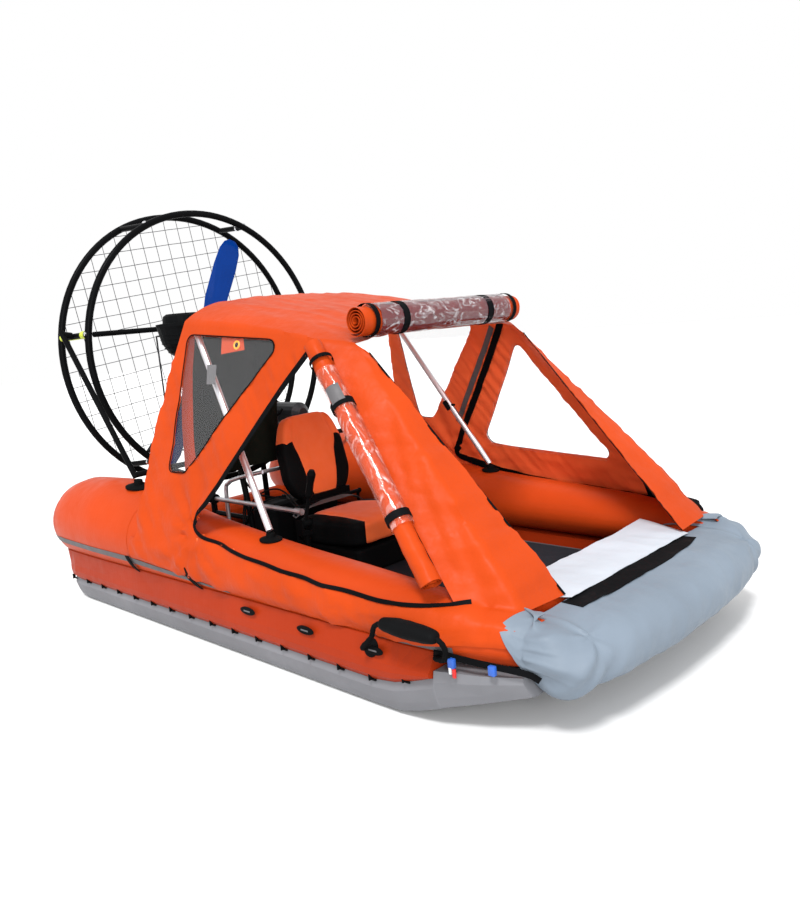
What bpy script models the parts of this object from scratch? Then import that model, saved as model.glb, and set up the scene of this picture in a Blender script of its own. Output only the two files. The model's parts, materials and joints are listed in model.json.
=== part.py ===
"""Small inflatable airboat with a fabric cabin, one seat, and a caged propeller at the stern.

Metres, +X to the bow, +Y to port, +Z up. The origin is on the ground, in the middle of the length and width.
"""

import math

import bmesh
import bpy
from mathutils import Matrix, Vector

# Hull
GAP = 0.0004
DECK_Z = 0.165
BOTTOM_TOP = 0.110
SKIRT_TOP = 0.2045
TUBE_BOTTOM = 0.206
TUBE_Y = 0.72
DECK_HALF_WIDTH = 0.60
STEP_X = 1.175
SIDE_FRONT_FOOT_X = 1.220
REEDS = 8
REED_DEPTH = 0.010
REED_HALF_SPAN = 0.80
# Columns of a reed's section: share of its width, share of its groove's depth.
REED_SECTION = ((0.0, 1.0), (0.10, 0.35), (0.27, 0.0), (0.73, 0.0), (0.90, 0.35))
WELL_HALF_WIDTH = 0.615
WELL_SLOPE = 0.004

# Station tables, stern to bow.
# Columns of the bottom: x, lowest z, half width, top z in the well, top z at the sides.
BOTTOM_STATIONS = (
    (-1.455, 0.070, 0.770, BOTTOM_TOP, BOTTOM_TOP),
    (-1.425, 0.030, 0.815, BOTTOM_TOP, BOTTOM_TOP),
    (-1.360, 0.004, 0.850, BOTTOM_TOP, BOTTOM_TOP),
    (-1.280, 0.000, 0.860, BOTTOM_TOP, BOTTOM_TOP),
    (0.900, 0.000, 0.860, BOTTOM_TOP, BOTTOM_TOP),
    (1.004, 0.004, 0.860, BOTTOM_TOP, 0.124),
    (1.090, 0.026, 0.858, BOTTOM_TOP, 0.149),
    (STEP_X, 0.055, 0.855, BOTTOM_TOP, 0.178),
    (STEP_X + 0.004, 0.057, 0.855, SKIRT_TOP, SKIRT_TOP),
    (1.330, 0.098, 0.805, SKIRT_TOP, SKIRT_TOP),
    (1.450, 0.128, 0.745, SKIRT_TOP, SKIRT_TOP),
    (1.600, 0.180, 0.690, SKIRT_TOP, SKIRT_TOP),
)
# Columns of a side skirt: x, outer y, lower z, z of the lip that hugs the tube's side.
SKIRT_STATIONS = (
    (-1.430, 0.800, BOTTOM_TOP, 0.262),
    (-1.405, 0.845, BOTTOM_TOP, 0.264),
    (-1.350, 0.868, BOTTOM_TOP, 0.268),
    (-1.290, 0.877, BOTTOM_TOP, 0.268),
    (-1.250, 0.877, BOTTOM_TOP, 0.268),
    (-0.970, 0.877, BOTTOM_TOP, 0.268),
    (-0.700, 0.877, BOTTOM_TOP, 0.268),
    (-0.240, 0.877, BOTTOM_TOP, 0.268),
    (0.140, 0.877, BOTTOM_TOP, 0.268),
    (0.430, 0.877, BOTTOM_TOP, 0.268),
    (0.700, 0.877, BOTTOM_TOP, 0.268),
    (0.900, 0.877, BOTTOM_TOP, 0.268),
    (1.004, 0.877, 0.124, 0.267),
    (1.040, 0.877, 0.1346, 0.266),
    (1.090, 0.876, 0.149, 0.265),
    (STEP_X - GAP, 0.872, 0.178, 0.262),
)
LIP_THICKNESS = 0.006
LIP_CLEARANCE = 0.0012
LIP_STEPS = 6
# Columns of a main tube: x, centre y, lowest z, highest z, half width.
TUBE_STATIONS = (
    (-1.535, 0.700, 0.345, 0.400, 0.030),
    (-1.525, 0.703, 0.300, 0.440, 0.080),
    (-1.490, 0.710, 0.250, 0.512, 0.140),
    (-1.430, 0.716, 0.220, 0.566, 0.178),
    (-1.350, TUBE_Y, TUBE_BOTTOM, 0.604, 0.200),
    (-1.250, TUBE_Y, TUBE_BOTTOM, 0.628, 0.211),
    (-0.970, TUBE_Y, TUBE_BOTTOM, 0.640, 0.215),
    (-0.700, TUBE_Y, TUBE_BOTTOM, 0.600, 0.200),
    (-0.240, TUBE_Y, TUBE_BOTTOM, 0.525, 0.175),
    (0.140, TUBE_Y, TUBE_BOTTOM, 0.485, 0.158),
    (0.430, TUBE_Y, TUBE_BOTTOM, 0.462, 0.150),
    (0.700, TUBE_Y, TUBE_BOTTOM, 0.446, 0.143),
    (1.040, TUBE_Y, TUBE_BOTTOM, 0.420, 0.136),
    (SIDE_FRONT_FOOT_X, 0.704, TUBE_BOTTOM, 0.396, 0.127),
    (1.337, 0.670, TUBE_BOTTOM, 0.373, 0.114),
    (1.410, 0.645, TUBE_BOTTOM, 0.358, 0.106),
    (1.520, 0.610, TUBE_BOTTOM, 0.342, 0.100),
)
# Columns of the bow cover, from the middle out: y, foremost x, lowest z, highest z.
COVER_STATIONS = (
    (0.000, 1.690, 0.118, 0.358),
    (0.160, 1.688, 0.118, 0.358),
    (0.300, 1.682, 0.118, 0.357),
    (0.480, 1.662, 0.119, 0.354),
    (0.590, 1.628, 0.123, 0.347),
    (0.665, 1.582, 0.135, 0.335),
    (0.718, 1.532, 0.160, 0.314),
    (0.752, 1.480, 0.200, 0.288),
)
COVER_DEPTH = 0.240
COVER_ROUNDNESS = 0.80
# The cover's back face and the hull's front end share one leaning plane.
BOW_PLANE_POINT = Vector((1.410, 0.0, 0.360))
BOW_PLANE_LEAN = math.radians(13.0)
BOW_TUBE_X = 1.348
BOW_TUBE_RADIUS = 0.0765
BOW_TUBE_HALF_LENGTH = 0.530
FLAP_FRONT_X = 1.430
FLAP_BACK_X = 1.160
FLAP_Z = 0.3585
FLAP_THICKNESS = 0.003
# A carry handle's patches: middle of the inner face, and how far the outer face looks up.
HANDLE_PATCHES = (((0.915, 0.8623, 0.2291), math.radians(17.6)), ((1.210, 0.8302, 0.2534), math.radians(-40.0)))
STERN_TUBE_X = -1.270
STERN_TUBE_RADIUS = 0.085
STERN_TUBE_HALF_LENGTH = 0.545

# Canopy
FABRIC = 0.004
PANE = 0.002
FABRIC_CLEARANCE = 0.010
HEM_CLEARANCE = 0.0071
HEM_Z = 0.275
ROOF_REAR = Vector((-0.340, 0.630, 1.372))
ROOF_CORNER = Vector((0.470, 0.572, 1.252))
ROOF_FRONT = Vector((0.590, 0.500, 1.226))
ROOF_HUMP = 0.018
SHOULDER_REAR = 0.068
SHOULDER_FRONT = 0.006
SHOULDER_POWER = 6
ROOF_CROWN = 0.0162
ROOF_SEAM = 0.0043
SIDE_REAR_FOOT_X = -0.520
REAR_EDGE_BOW = 0.040
SKIRT_REAR_X = -0.560
SKIRT_CROWN_X = 1.395
SKIRT_FRONT_X = 1.470
PILLAR_TOP = Vector((0.650, 0.490, 1.190))
PILLAR_FOOT = Vector((1.404, 0.430, 0.3665))
PILLAR_BULGE = 0.014
PILLAR_SEAM = 0.006
# Columns of the zip line where the side panels land on the tube: x, angle up from the tube's outer side.
ZIP_LINE = (
    (SIDE_REAR_FOOT_X, math.radians(11)),
    (0.100, math.radians(20)),
    (0.400, math.radians(38)),
    (0.900, math.radians(38)),
    (1.040, math.radians(44)),
    (1.180, math.radians(60)),
    (1.250, math.radians(78)),
    (SKIRT_CROWN_X, math.radians(88)),
)

# Openings in the canopy's sides, as corners in x and z with a corner radius.
REAR_WINDOW = ((-0.302, 1.311, 0.030), (0.284, 1.258, 0.030), (-0.215, 0.740, 0.030), (-0.323, 0.740, 0.020))
DOOR_EDGE = ((0.546, 1.340, 0.0), (-0.105, 0.545, 0.060), (0.380, 0.437, 0.0), (0.450, 0.300, 0.0))
DOOR_FRONT = ((1.600, 0.300, 0.0), (1.600, 1.340, 0.0))
DOOR_WINDOW = ((0.520, 1.150, 0.030), (0.120, 0.610, 0.040), (0.920, 0.560, 0.030))

# Rolled fabric
FRONT_ROLL_CENTRE = Vector((0.612, 0.0, 1.3085))
FRONT_ROLL_RADIUS = 0.060
FRONT_ROLL_Y = (-0.512, 0.458)
DOOR_ROLL_RADIUS = 0.042

# Poles and pads
POLE_RADIUS = 0.0145
POLE_FOOT_X = 0.226
POLE_HEAD = Vector((-0.312, 0.602, 1.345))
POLE_PAD_RADIUS = 0.046
LEG_PAD_RADIUS = 0.062
PAD_HEIGHT = 0.014

# Seat
SEAT_HALF_WIDTH = 0.250
SEAT_FRONT_X = 0.215
SEAT_REAR_X = -0.245
SEAT_BASE_TOP = 0.290
CUSHION_TOP = 0.415
SEAT_HINGE = Vector((-0.240, 0.0, 0.4450))
SEAT_BAR_HALF = 0.205
BACK_LENGTH = 0.440
BACK_LEAN = math.radians(12.0)
BACK_THICKNESS = 0.095

# Steering
LEVER_Y = -0.350
LEVER_PIVOT = Vector((-0.010, LEVER_Y, 0.430))
LEVER_TOP = Vector((0.075, LEVER_Y, 0.680))
ROD_EYE = 0.050
ROD_RADIUS = 0.0115
ROD_EYE_RADIUS = 0.015
ROD_FRONT_X = -0.026
ROD_REAR_X = -0.820
GUIDE_X = (-0.780, -0.710)
GUIDE_BORE = 0.01215
RUDDER_POST = Vector((-1.430, 0.0, BOTTOM_TOP))
RUDDER_POST_TOP = 1.360
RUDDER_POST_RADIUS = 0.013
RUDDER_SPAN_Z = (0.620, 1.330)
RUDDER_CHORD = 0.260
RUDDER_THICKNESS = 0.022

# Power unit. Its own frame is centred on the hub, with x forward along the propeller's axis.
HUB = Vector((-1.210, 0.0, 1.227))
POWER_TILT = math.radians(2.47)
PROPELLER_RADIUS = 0.680
BLADES = 2
BLADE_START = math.radians(-27.5)
FRONT_RING = (0.129, 0.725)
REAR_RING = (-0.120, 0.750)
RING_TUBE = 0.0175
# Angles round the cage, from the port side up and over.
SPACER_ANGLES = (10, 65, 115, 170, 230, 310)
SPACER_RADIUS = 0.0145
ARM_RADIUS = 0.014
ARM_ANGLE = 10
ARM_SLANT = 0.003
LEG_OUTREACH = 0.044
NET_PITCH = 0.160
NET_WIRE = 0.004
NET_ROLL = math.radians(7.0)
LEG_FOOT_X = -0.790
ENGINE_PLATE_Z = 0.700
ENGINE_X = (-1.040, -0.700)
CRANKCASE = (-1.000, -0.740, 0.130, 0.910)
CRANK_Z = 0.820
TANK = ((-0.597, -0.230, DECK_Z + GAP), (-0.425, 0.230, 0.440))

# Materials. Columns: colour, roughness, metallic.
FINISHES = {
    "orange_fabric": ((0.83, 0.09, 0.015), 0.60, 0.0),
    "grey_hull": ((0.45, 0.45, 0.46), 0.45, 0.0),
    "cover_fabric": ((0.30, 0.36, 0.42), 0.60, 0.0),
    "flap_fabric": ((0.70, 0.74, 0.80), 0.60, 0.0),
    "deck": ((0.07, 0.07, 0.08), 0.80, 0.0),
    "clear_film": ((0.85, 0.88, 0.90), 0.10, 0.0),
    "black_tube": ((0.012, 0.012, 0.013), 0.35, 0.0),
    "black_plastic": ((0.015, 0.015, 0.016), 0.50, 0.0),
    "aluminium": ((0.72, 0.72, 0.75), 0.30, 1.0),
    "engine_metal": ((0.05, 0.05, 0.055), 0.45, 0.6),
    "blade_blue": ((0.004, 0.055, 0.36), 0.30, 0.0),
    "seat_cover": ((0.85, 0.14, 0.02), 0.75, 0.0),
    "net": ((0.25, 0.25, 0.26), 0.60, 0.0),
}


def clear_scene():
    for obj in list(bpy.data.objects):
        bpy.data.objects.remove(obj)


def finish(name):
    """The named material, made when it is first asked for."""
    found = bpy.data.materials.get(name)
    if found:
        return found
    colour, roughness, metallic = FINISHES[name]
    made = bpy.data.materials.new(name)
    made.use_nodes = True
    shader = made.node_tree.nodes["Principled BSDF"]
    shader.inputs["Base Color"].default_value = (*colour, 1.0)
    shader.inputs["Roughness"].default_value = roughness
    shader.inputs["Metallic"].default_value = metallic
    return made


def closed(bm):
    """Turns a bmesh into a mesh with its faces pointing out."""
    bmesh.ops.recalc_face_normals(bm, faces=bm.faces[:])
    mesh = bpy.data.meshes.new("shape")
    bm.to_mesh(mesh)
    bm.free()
    return mesh


def place(name, mesh, origin=None, parent=None, helper=False):
    """An object for a mesh drawn in its parent's frame, with its origin moved to the given point."""
    obj = bpy.data.objects.new(name, mesh)
    bpy.context.scene.collection.objects.link(obj)
    if origin is not None:
        mesh.transform(Matrix.Translation(-Vector(origin)))
        obj.location = origin
    obj.parent = parent
    if helper:
        obj.hide_render = True
        obj.display_type = "WIRE"
    return obj


def boolean(obj, mesh, operation, parent=None):
    helper = place(f"{obj.name}_{operation.lower()}_{len(obj.modifiers)}", mesh, parent=parent, helper=True)
    modifier = obj.modifiers.new(helper.name, "BOOLEAN")
    modifier.operation = operation
    modifier.solver = "EXACT"
    modifier.object = helper


def node(name, meshes, look, origin=None, parent=None, cuts=(), smooth=35.0):
    """One piece: its meshes joined into one body, less the cuts."""
    first, *others = meshes
    obj = place(name, first, origin, parent)
    for mesh in others:
        boolean(obj, mesh, "UNION", parent)
    for mesh in cuts:
        boolean(obj, mesh, "DIFFERENCE", parent)
    obj.data.materials.append(finish(look))
    obj.data.shade_smooth()
    obj.data.set_sharp_from_angle(angle=math.radians(smooth))
    return obj


def loft(rings, caps=True, around=False):
    """A skin over rings of equal length. around joins the last ring to the first."""
    bm = bmesh.new()
    rows = [[bm.verts.new(p) for p in ring] for ring in rings]
    count = len(rows[0])
    pairs = list(zip(rows, rows[1:]))
    if around:
        pairs.append((rows[-1], rows[0]))
    for low, high in pairs:
        for i in range(count):
            j = (i + 1) % count
            bm.faces.new((low[i], low[j], high[j], high[i]))
    if caps and not around:
        bm.faces.new(rows[0])
        bm.faces.new(rows[-1])
    return closed(bm)


def mesh_halfspace(mesh, point, normal):
    """Keeps what lies behind the plane, and closes the cut."""
    bm = bmesh.new()
    bm.from_mesh(mesh)
    everything = bm.verts[:] + bm.edges[:] + bm.faces[:]
    cut = bmesh.ops.bisect_plane(bm, geom=everything, plane_co=point, plane_no=normal, clear_outer=True)
    edges = [e for e in cut["geom_cut"] if isinstance(e, bmesh.types.BMEdge)]
    bmesh.ops.contextual_create(bm, geom=edges)
    return closed(bm)


def basis(direction):
    """Two unit vectors square to a direction."""
    along = Vector(direction).normalized()
    helper = Vector((0, 0, 1)) if abs(along.z) < 0.9 else Vector((1, 0, 0))
    first = along.cross(helper).normalized()
    return first, along.cross(first).normalized()


def circle(centre, direction, radius, sides):
    first, second = basis(direction)
    angles = [2 * math.pi * i / sides for i in range(sides)]
    return [Vector(centre) + radius * (math.cos(a) * first + math.sin(a) * second) for a in angles]


def turned(start, direction, profile, sides=16):
    """A turned solid. profile lists distance along the direction and radius."""
    along = Vector(direction).normalized()
    return loft([circle(Vector(start) + along * t, along, r, sides) for t, r in profile])


def rod(start, end, radius, sides=12):
    length = (Vector(end) - Vector(start)).length
    return turned(start, Vector(end) - Vector(start), ((0, radius), (length, radius)), sides)


def pipe(points, radius, sides=8):
    """A tube along points, with one frame carried from point to point so that it doesn't twist."""
    points = [Vector(p) for p in points]
    tangents = []
    for i in range(len(points)):
        before, after = points[max(i - 1, 0)], points[min(i + 1, len(points) - 1)]
        tangents.append((after - before).normalized())
    side = basis(tangents[0])[0]
    rings = []
    for point, tangent in zip(points, tangents):
        side = (side - tangent * side.dot(tangent)).normalized()
        other = tangent.cross(side)
        angles = [2 * math.pi * i / sides for i in range(sides)]
        rings.append([point + radius * (math.cos(a) * side + math.sin(a) * other) for a in angles])
    return loft(rings)


def ring_tube(centre, direction, radius, tube, steps=48, sides=8):
    first, second = basis(direction)
    along = Vector(direction).normalized()
    rings = []
    for i in range(steps):
        a = 2 * math.pi * i / steps
        out = math.cos(a) * first + math.sin(a) * second
        ring = []
        for k in range(sides):
            t = 2 * math.pi * k / sides
            ring.append(Vector(centre) + (radius + tube * math.cos(t)) * out + tube * math.sin(t) * along)
        rings.append(ring)
    return loft(rings, around=True)


def box(low, high, bevel=0.0, segments=2):
    bm = bmesh.new()
    low, high = Vector(low), Vector(high)
    bmesh.ops.create_cube(bm, size=1.0)
    for vert in bm.verts:
        vert.co = Vector((low[i] + (vert.co[i] + 0.5) * (high[i] - low[i]) for i in range(3)))
    if bevel:
        bmesh.ops.bevel(bm, geom=bm.edges[:], offset=bevel, segments=segments, affect="EDGES", profile=0.5)
    return closed(bm)


def rounded(corners, steps=5):
    """An outline from corners given as two coordinates and a radius."""
    outline = []
    for i, (a, b, radius) in enumerate(corners):
        here = Vector((a, b))
        if not radius:
            outline.append(here)
            continue
        before = Vector(corners[i - 1][:2]) - here
        after = Vector(corners[(i + 1) % len(corners)][:2]) - here
        half = before.angle(after) / 2
        reach = radius / math.tan(half)
        middle = here + (before.normalized() + after.normalized()).normalized() * radius / math.sin(half)
        start = here + before.normalized() * reach - middle
        end = here + after.normalized() * reach - middle
        for k in range(steps + 1):
            arm = start.lerp(end, k / steps).normalized() * radius
            outline.append(middle + arm)
    return outline


def inset(outline, distance):
    """A convex outline moved inwards."""
    area = sum(a.x * b.y - b.x * a.y for a, b in zip(outline, outline[1:] + outline[:1]))
    turn = 1 if area > 0 else -1
    moved = []
    count = len(outline)
    for i, here in enumerate(outline):
        edges = (here - outline[i - 1], outline[(i + 1) % count] - here)
        normals = [Vector((-e.y, e.x)).normalized() * turn for e in edges]
        between = (normals[0] + normals[1]).normalized()
        moved.append(here + between * distance / max(between.dot(normals[0]), 0.3))
    return moved


def prism(outline, low, high, axis="y"):
    """An outline in the other two axes, pushed along one axis."""
    make = {
        "x": lambda p, d: Vector((d, p[0], p[1])),
        "y": lambda p, d: Vector((p[0], d, p[1])),
        "z": lambda p, d: Vector((p[0], p[1], d)),
    }[axis]
    return loft([[make(p, low) for p in outline], [make(p, high) for p in outline]])


def mix(table, x, column):
    """A value of a station table at x, in straight lines between its rows."""
    if x <= table[0][0]:
        return table[0][column]
    for low, high in zip(table, table[1:]):
        if x <= high[0]:
            share = (x - low[0]) / (high[0] - low[0])
            return low[column] + share * (high[column] - low[column])
    return table[-1][column]


def tube_ellipse(x, clearance=0.0):
    """Centre y, centre z, half width and half height of a main tube at x."""
    low, high = mix(TUBE_STATIONS, x, 2), mix(TUBE_STATIONS, x, 3)
    width = mix(TUBE_STATIONS, x, 4) + clearance
    return mix(TUBE_STATIONS, x, 1), (low + high) / 2, width, (high - low) / 2 + clearance


def on_tube(x, angle, clearance=0.0):
    """A point on the port tube. Angle 0 faces out and a quarter turn faces up."""
    y, z, width, height = tube_ellipse(x, clearance)
    return Vector((x, y + width * math.cos(angle), z + height * math.sin(angle)))


def tube_normal(x, angle):
    """The outward direction at a point of the port tube."""
    step = 0.01
    along = on_tube(x + step, angle) - on_tube(x - step, angle)
    around = on_tube(x, angle + step) - on_tube(x, angle - step)
    return around.cross(along).normalized()


def mirrored(points, side):
    return [Vector((p.x, p.y * side, p.z)) for p in points]


SIDES = (("port", 1), ("starboard", -1))


def hull():
    bow_normal = Vector((math.cos(BOW_PLANE_LEAN), 0, math.sin(BOW_PLANE_LEAN)))
    rings = []
    for x, low, half, well, top in BOTTOM_STATIONS:
        span = REED_HALF_SPAN * half / 0.86
        ring = [Vector((x, -span, low))]
        for reed in range(REEDS):
            for share, depth in REED_SECTION:
                rise = depth * REED_DEPTH * (top - low) / BOTTOM_TOP
                y = span * (2 * (reed + share) / REEDS - 1)
                if reed or share:
                    ring.append(Vector((x, y, low + rise)))
        ring.append(Vector((x, span, low)))
        corner = ((span + 0.6 * (half - span), 0.10), (half - 0.012, 0.36), (half, 0.75), (half - 0.006, 1.0))
        ring += [Vector((x, y, low + share * (top - low))) for y, share in corner]
        ring += [Vector((x, WELL_HALF_WIDTH, top)), Vector((x, WELL_HALF_WIDTH - WELL_SLOPE, well))]
        ring += [Vector((x, WELL_SLOPE - WELL_HALF_WIDTH, well)), Vector((x, -WELL_HALF_WIDTH, top))]
        ring += [Vector((x, -y, low + share * (top - low))) for y, share in reversed(corner)]
        rings.append(ring)
    bottom = mesh_halfspace(loft(rings), BOW_PLANE_POINT - bow_normal * GAP, bow_normal)
    node("hull_bottom", [bottom], "grey_hull")
    node(
        "floor_deck",
        [box((-1.360, -DECK_HALF_WIDTH, BOTTOM_TOP + GAP), (STEP_X - 0.01, DECK_HALF_WIDTH, DECK_Z), 0.006, 1)],
        "deck",
    )
    for label, side in SIDES:
        rings = []
        for x, outer, low, lip in SKIRT_STATIONS:
            rise = SKIRT_TOP - low - GAP
            ring = [
                Vector((x, 0.625, low + GAP)),
                Vector((x, outer - 0.024, low + GAP)),
                Vector((x, outer - 0.004, low + GAP + 0.25 * rise)),
                Vector((x, outer, low + GAP + 0.53 * rise)),
                Vector((x, outer - 0.003, low + GAP + 0.85 * rise)),
            ]
            _, z, _, height = tube_ellipse(x)
            start = math.asin((lip - z) / height)
            ring.append(on_tube(x, start, LIP_THICKNESS + LIP_CLEARANCE))
            for k in range(LIP_STEPS + 1):
                angle = start + (math.radians(-90) - start) * k / LIP_STEPS
                ring.append(on_tube(x, angle, LIP_CLEARANCE))
            ring.append(Vector((x, 0.625, SKIRT_TOP)))
            rings.append(mirrored(ring, side))
        node(f"side_skirt_{label}", [loft(rings)], "orange_fabric")
        rings = []
        for x, *_ in TUBE_STATIONS:
            ring = [on_tube(x, 2 * math.pi * i / 20) for i in range(20)]
            rings.append(mirrored(ring, side))
        tube = mesh_halfspace(loft(rings), BOW_PLANE_POINT - bow_normal * GAP, bow_normal)
        node(f"main_tube_{label}", [tube], "orange_fabric", smooth=60)
    rings = []
    stations = [(-y, *rest) for y, *rest in reversed(COVER_STATIONS[1:])] + list(COVER_STATIONS)
    for y, front, low, high in stations:
        ring = []
        for i in range(28):
            a = 2 * math.pi * i / 28
            c, s = math.cos(a), math.sin(a)
            x = min(front - COVER_DEPTH, 1.45) + COVER_DEPTH * math.copysign(abs(c) ** COVER_ROUNDNESS, c)
            z = (low + high) / 2 + (high - low) / 2 * math.copysign(abs(s) ** COVER_ROUNDNESS, s)
            ring.append(Vector((x, y, z)))
        rings.append(ring)
    cover = mesh_halfspace(loft(rings), BOW_PLANE_POINT + bow_normal * GAP, -bow_normal)
    node("bow_cover", [cover], "cover_fabric", smooth=50)
    cross = Vector((BOW_TUBE_X, 0, SKIRT_TOP + GAP + BOW_TUBE_RADIUS))
    node("bow_tube", [cross_tube(cross, BOW_TUBE_HALF_LENGTH, BOW_TUBE_RADIUS)], "orange_fabric")
    cross = Vector((STERN_TUBE_X, 0, DECK_Z + GAP + STERN_TUBE_RADIUS))
    node("stern_tube", [cross_tube(cross, STERN_TUBE_HALF_LENGTH, STERN_TUBE_RADIUS)], "orange_fabric")
    outline = rounded(
        (
            (FLAP_FRONT_X, -0.430, 0.01),
            (FLAP_FRONT_X, 0.430, 0.01),
            (FLAP_BACK_X, 0.545, 0.035),
            (FLAP_BACK_X, -0.545, 0.035),
        )
    )
    node("bow_flap", [prism(outline, FLAP_Z, FLAP_Z + FLAP_THICKNESS, "z")], "flap_fabric")


def cross_tube(centre, half, radius):
    """A tube across the hull with pinched round ends."""
    profile = ((0, 0.55), (0.03, 0.88), (0.07, 1.0))
    steps = [(t, radius * share) for t, share in profile]
    steps += [(2 * half - t, r) for t, r in reversed(steps)]
    return turned(centre - Vector((0, half, 0)), (0, 1, 0), steps, 20)


def handles():
    """A padded rope handle on each side of the bow, held by a patch at each end."""
    for label, side in SIDES:
        ends = []
        patches = []
        for seat, up in HANDLE_PATCHES:
            start, normal = mirrored([Vector(seat), Vector((0, math.cos(up), math.sin(up)))], side)
            patches.append(turned(start, normal, ((0, 0.032), (0.006, 0.030), (0.010, 0.020)), 12))
            ends.append(start + normal * 0.006)
        route = (
            ends[0],
            ends[0] + Vector((0.000, side * 0.036, 0.012)),
            Vector((0.955, side * 0.895, 0.285)),
            Vector((0.990, side * 0.908, 0.335)),
            Vector((1.045, side * 0.912, 0.356)),
            Vector((1.245, side * 0.908, 0.352)),
            Vector((1.278, side * 0.898, 0.322)),
            Vector((1.262, side * 0.885, 0.275)),
            ends[1] + Vector((0.000, side * 0.036, 0.012)),
            ends[1],
        )
        grip = turned(
            route[4],
            route[5] - route[4],
            ((-0.018, 0.017), (-0.006, 0.028), (0.030, 0.031), (0.165, 0.031), (0.200, 0.028), (0.214, 0.017)),
            14,
        )
        node(f"carry_handle_{label}", [pipe(route, 0.009), *patches, grip], "black_plastic")


def canopy_edge(u):
    """The roof's side edge, from the rear to the pillar's corner."""
    point = ROOF_REAR.lerp(ROOF_CORNER, u)
    point.z += ROOF_HUMP * 4 * u * (1 - u)
    return point


def tangent_angle(x, top):
    """The angle at which fabric pulled down from a point above first touches the tube's side."""
    y, z, width, height = tube_ellipse(x, FABRIC_CLEARANCE)
    p, q = (top.y - y) / width, (top.z - z) / height
    return math.atan2(q, p) - math.acos(1 / math.hypot(p, q))


def side_foot_x(u):
    return SIDE_REAR_FOOT_X + u * (SIDE_FRONT_FOOT_X - SIDE_REAR_FOOT_X)


def zip_angle(x):
    """Where the side panels end on the tube and the lower band starts."""
    u = (x - SIDE_REAR_FOOT_X) / (SIDE_FRONT_FOOT_X - SIDE_REAR_FOOT_X)
    return max(tangent_angle(x, canopy_edge(min(max(u, 0.0), 1.0))), mix(ZIP_LINE, x, 1))


def side_point(u, v):
    """The canopy's side. u runs from the rear edge to the pillar, v from the roof to the tube."""
    x = side_foot_x(u)
    point = canopy_edge(u).lerp(on_tube(x, zip_angle(x), FABRIC_CLEARANCE), v)
    point.x -= REAR_EDGE_BOW * (1 - u) ** 4 * math.sin(math.pi * v)
    return point


def grid_sheet(name, rows, look, side, thickness=FABRIC, keep=None, cuts=(), shapes=()):
    """A fabric panel over rows of outer points, thickened inwards.

    keep is an outline that it is trimmed to. cuts are outlines and shapes are solids that are taken out of it.
    """
    bm = bmesh.new()
    verts = [[bm.verts.new(Vector((p.x, p.y * side, p.z))) for p in row] for row in rows]
    for low, high in zip(verts, verts[1:]):
        for i in range(len(low) - 1):
            corners = (low[i], low[i + 1], high[i + 1], high[i])
            bm.faces.new(corners if side > 0 else corners[::-1])
    mesh = bpy.data.meshes.new("sheet")
    bm.to_mesh(mesh)
    bm.free()
    obj = place(name, mesh)
    solidify = obj.modifiers.new("thickness", "SOLIDIFY")
    solidify.thickness = thickness
    solidify.offset = -1.0
    solidify.use_even_offset = True
    span = (0.30, 1.05) if side > 0 else (-1.05, -0.30)
    if keep is not None:
        boolean(obj, prism(keep, *span), "INTERSECT")
    for outline in cuts:
        boolean(obj, prism(outline, *span), "DIFFERENCE")
    for shape in shapes:
        boolean(obj, shape, "DIFFERENCE")
    obj.data.materials.append(finish(look))
    obj.data.shade_smooth()
    obj.data.set_sharp_from_angle(angle=math.radians(40))
    return obj


COLUMNS = 12
SIDE_ROWS = 7


def side_rows(trim=0.0006):
    """Rows of points of the side surface, from the roof down. The front edge stays clear of the pillar."""
    grid = []
    for j in range(SIDE_ROWS + 1):
        v = trim + (1 - 2 * trim) * j / SIDE_ROWS
        shares = [min(i / COLUMNS, 1 - 0.0012) for i in range(COLUMNS + 1)]
        grid.append([side_point(u, v) for u in shares])
    return grid


def canopy():
    rear_window = rounded(REAR_WINDOW)
    door_window = rounded(DOOR_WINDOW)
    door = rounded((*DOOR_EDGE, *DOOR_FRONT))
    for label, side in SIDES:
        grid_sheet(f"canopy_side_{label}", side_rows(), "orange_fabric", side, cuts=(door, rear_window))
        grid_sheet(f"rear_window_{label}", side_rows(), "clear_film", side, PANE, keep=inset(rear_window, GAP))
        canopy_skirt(label, side)
        canopy_pillar(label, side)
    grid_sheet("canopy_door_port", side_rows(), "orange_fabric", 1, keep=inset(door, GAP), cuts=(door_window,))
    grid_sheet("door_window_port", side_rows(), "clear_film", 1, PANE, keep=inset(door_window, GAP))
    canopy_roof()
    canopy_rolls()


def roof_edge_points():
    """The roof's side edge from the rear to the front, with each point's share of the way forward."""
    points = [canopy_edge(i / COLUMNS) for i in range(COLUMNS + 1)]
    points += [ROOF_CORNER.lerp(ROOF_FRONT, i / 3) for i in (1, 2, 3)]
    length = ROOF_FRONT.x - ROOF_REAR.x
    return [(p, (p.x - ROOF_REAR.x) / length) for p in points]


def canopy_roof():
    """The roof, crowned, with its sides turned down to the side panels."""
    grid = []
    rows = 12
    for edge, share in roof_edge_points():
        shoulder = SHOULDER_REAR + share * (SHOULDER_FRONT - SHOULDER_REAR)
        row = []
        for i in range(rows + 1):
            across = math.copysign(abs(1 - 2 * i / rows) ** 0.8, rows - 2 * i)
            rise = shoulder * (1 - abs(across) ** SHOULDER_POWER) + ROOF_CROWN * (1 - across**2)
            row.append(Vector((edge.x, edge.y * across, edge.z + ROOF_SEAM + rise)))
        grid.append(row)
    grid_sheet("canopy_roof", grid, "orange_fabric", 1)


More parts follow.
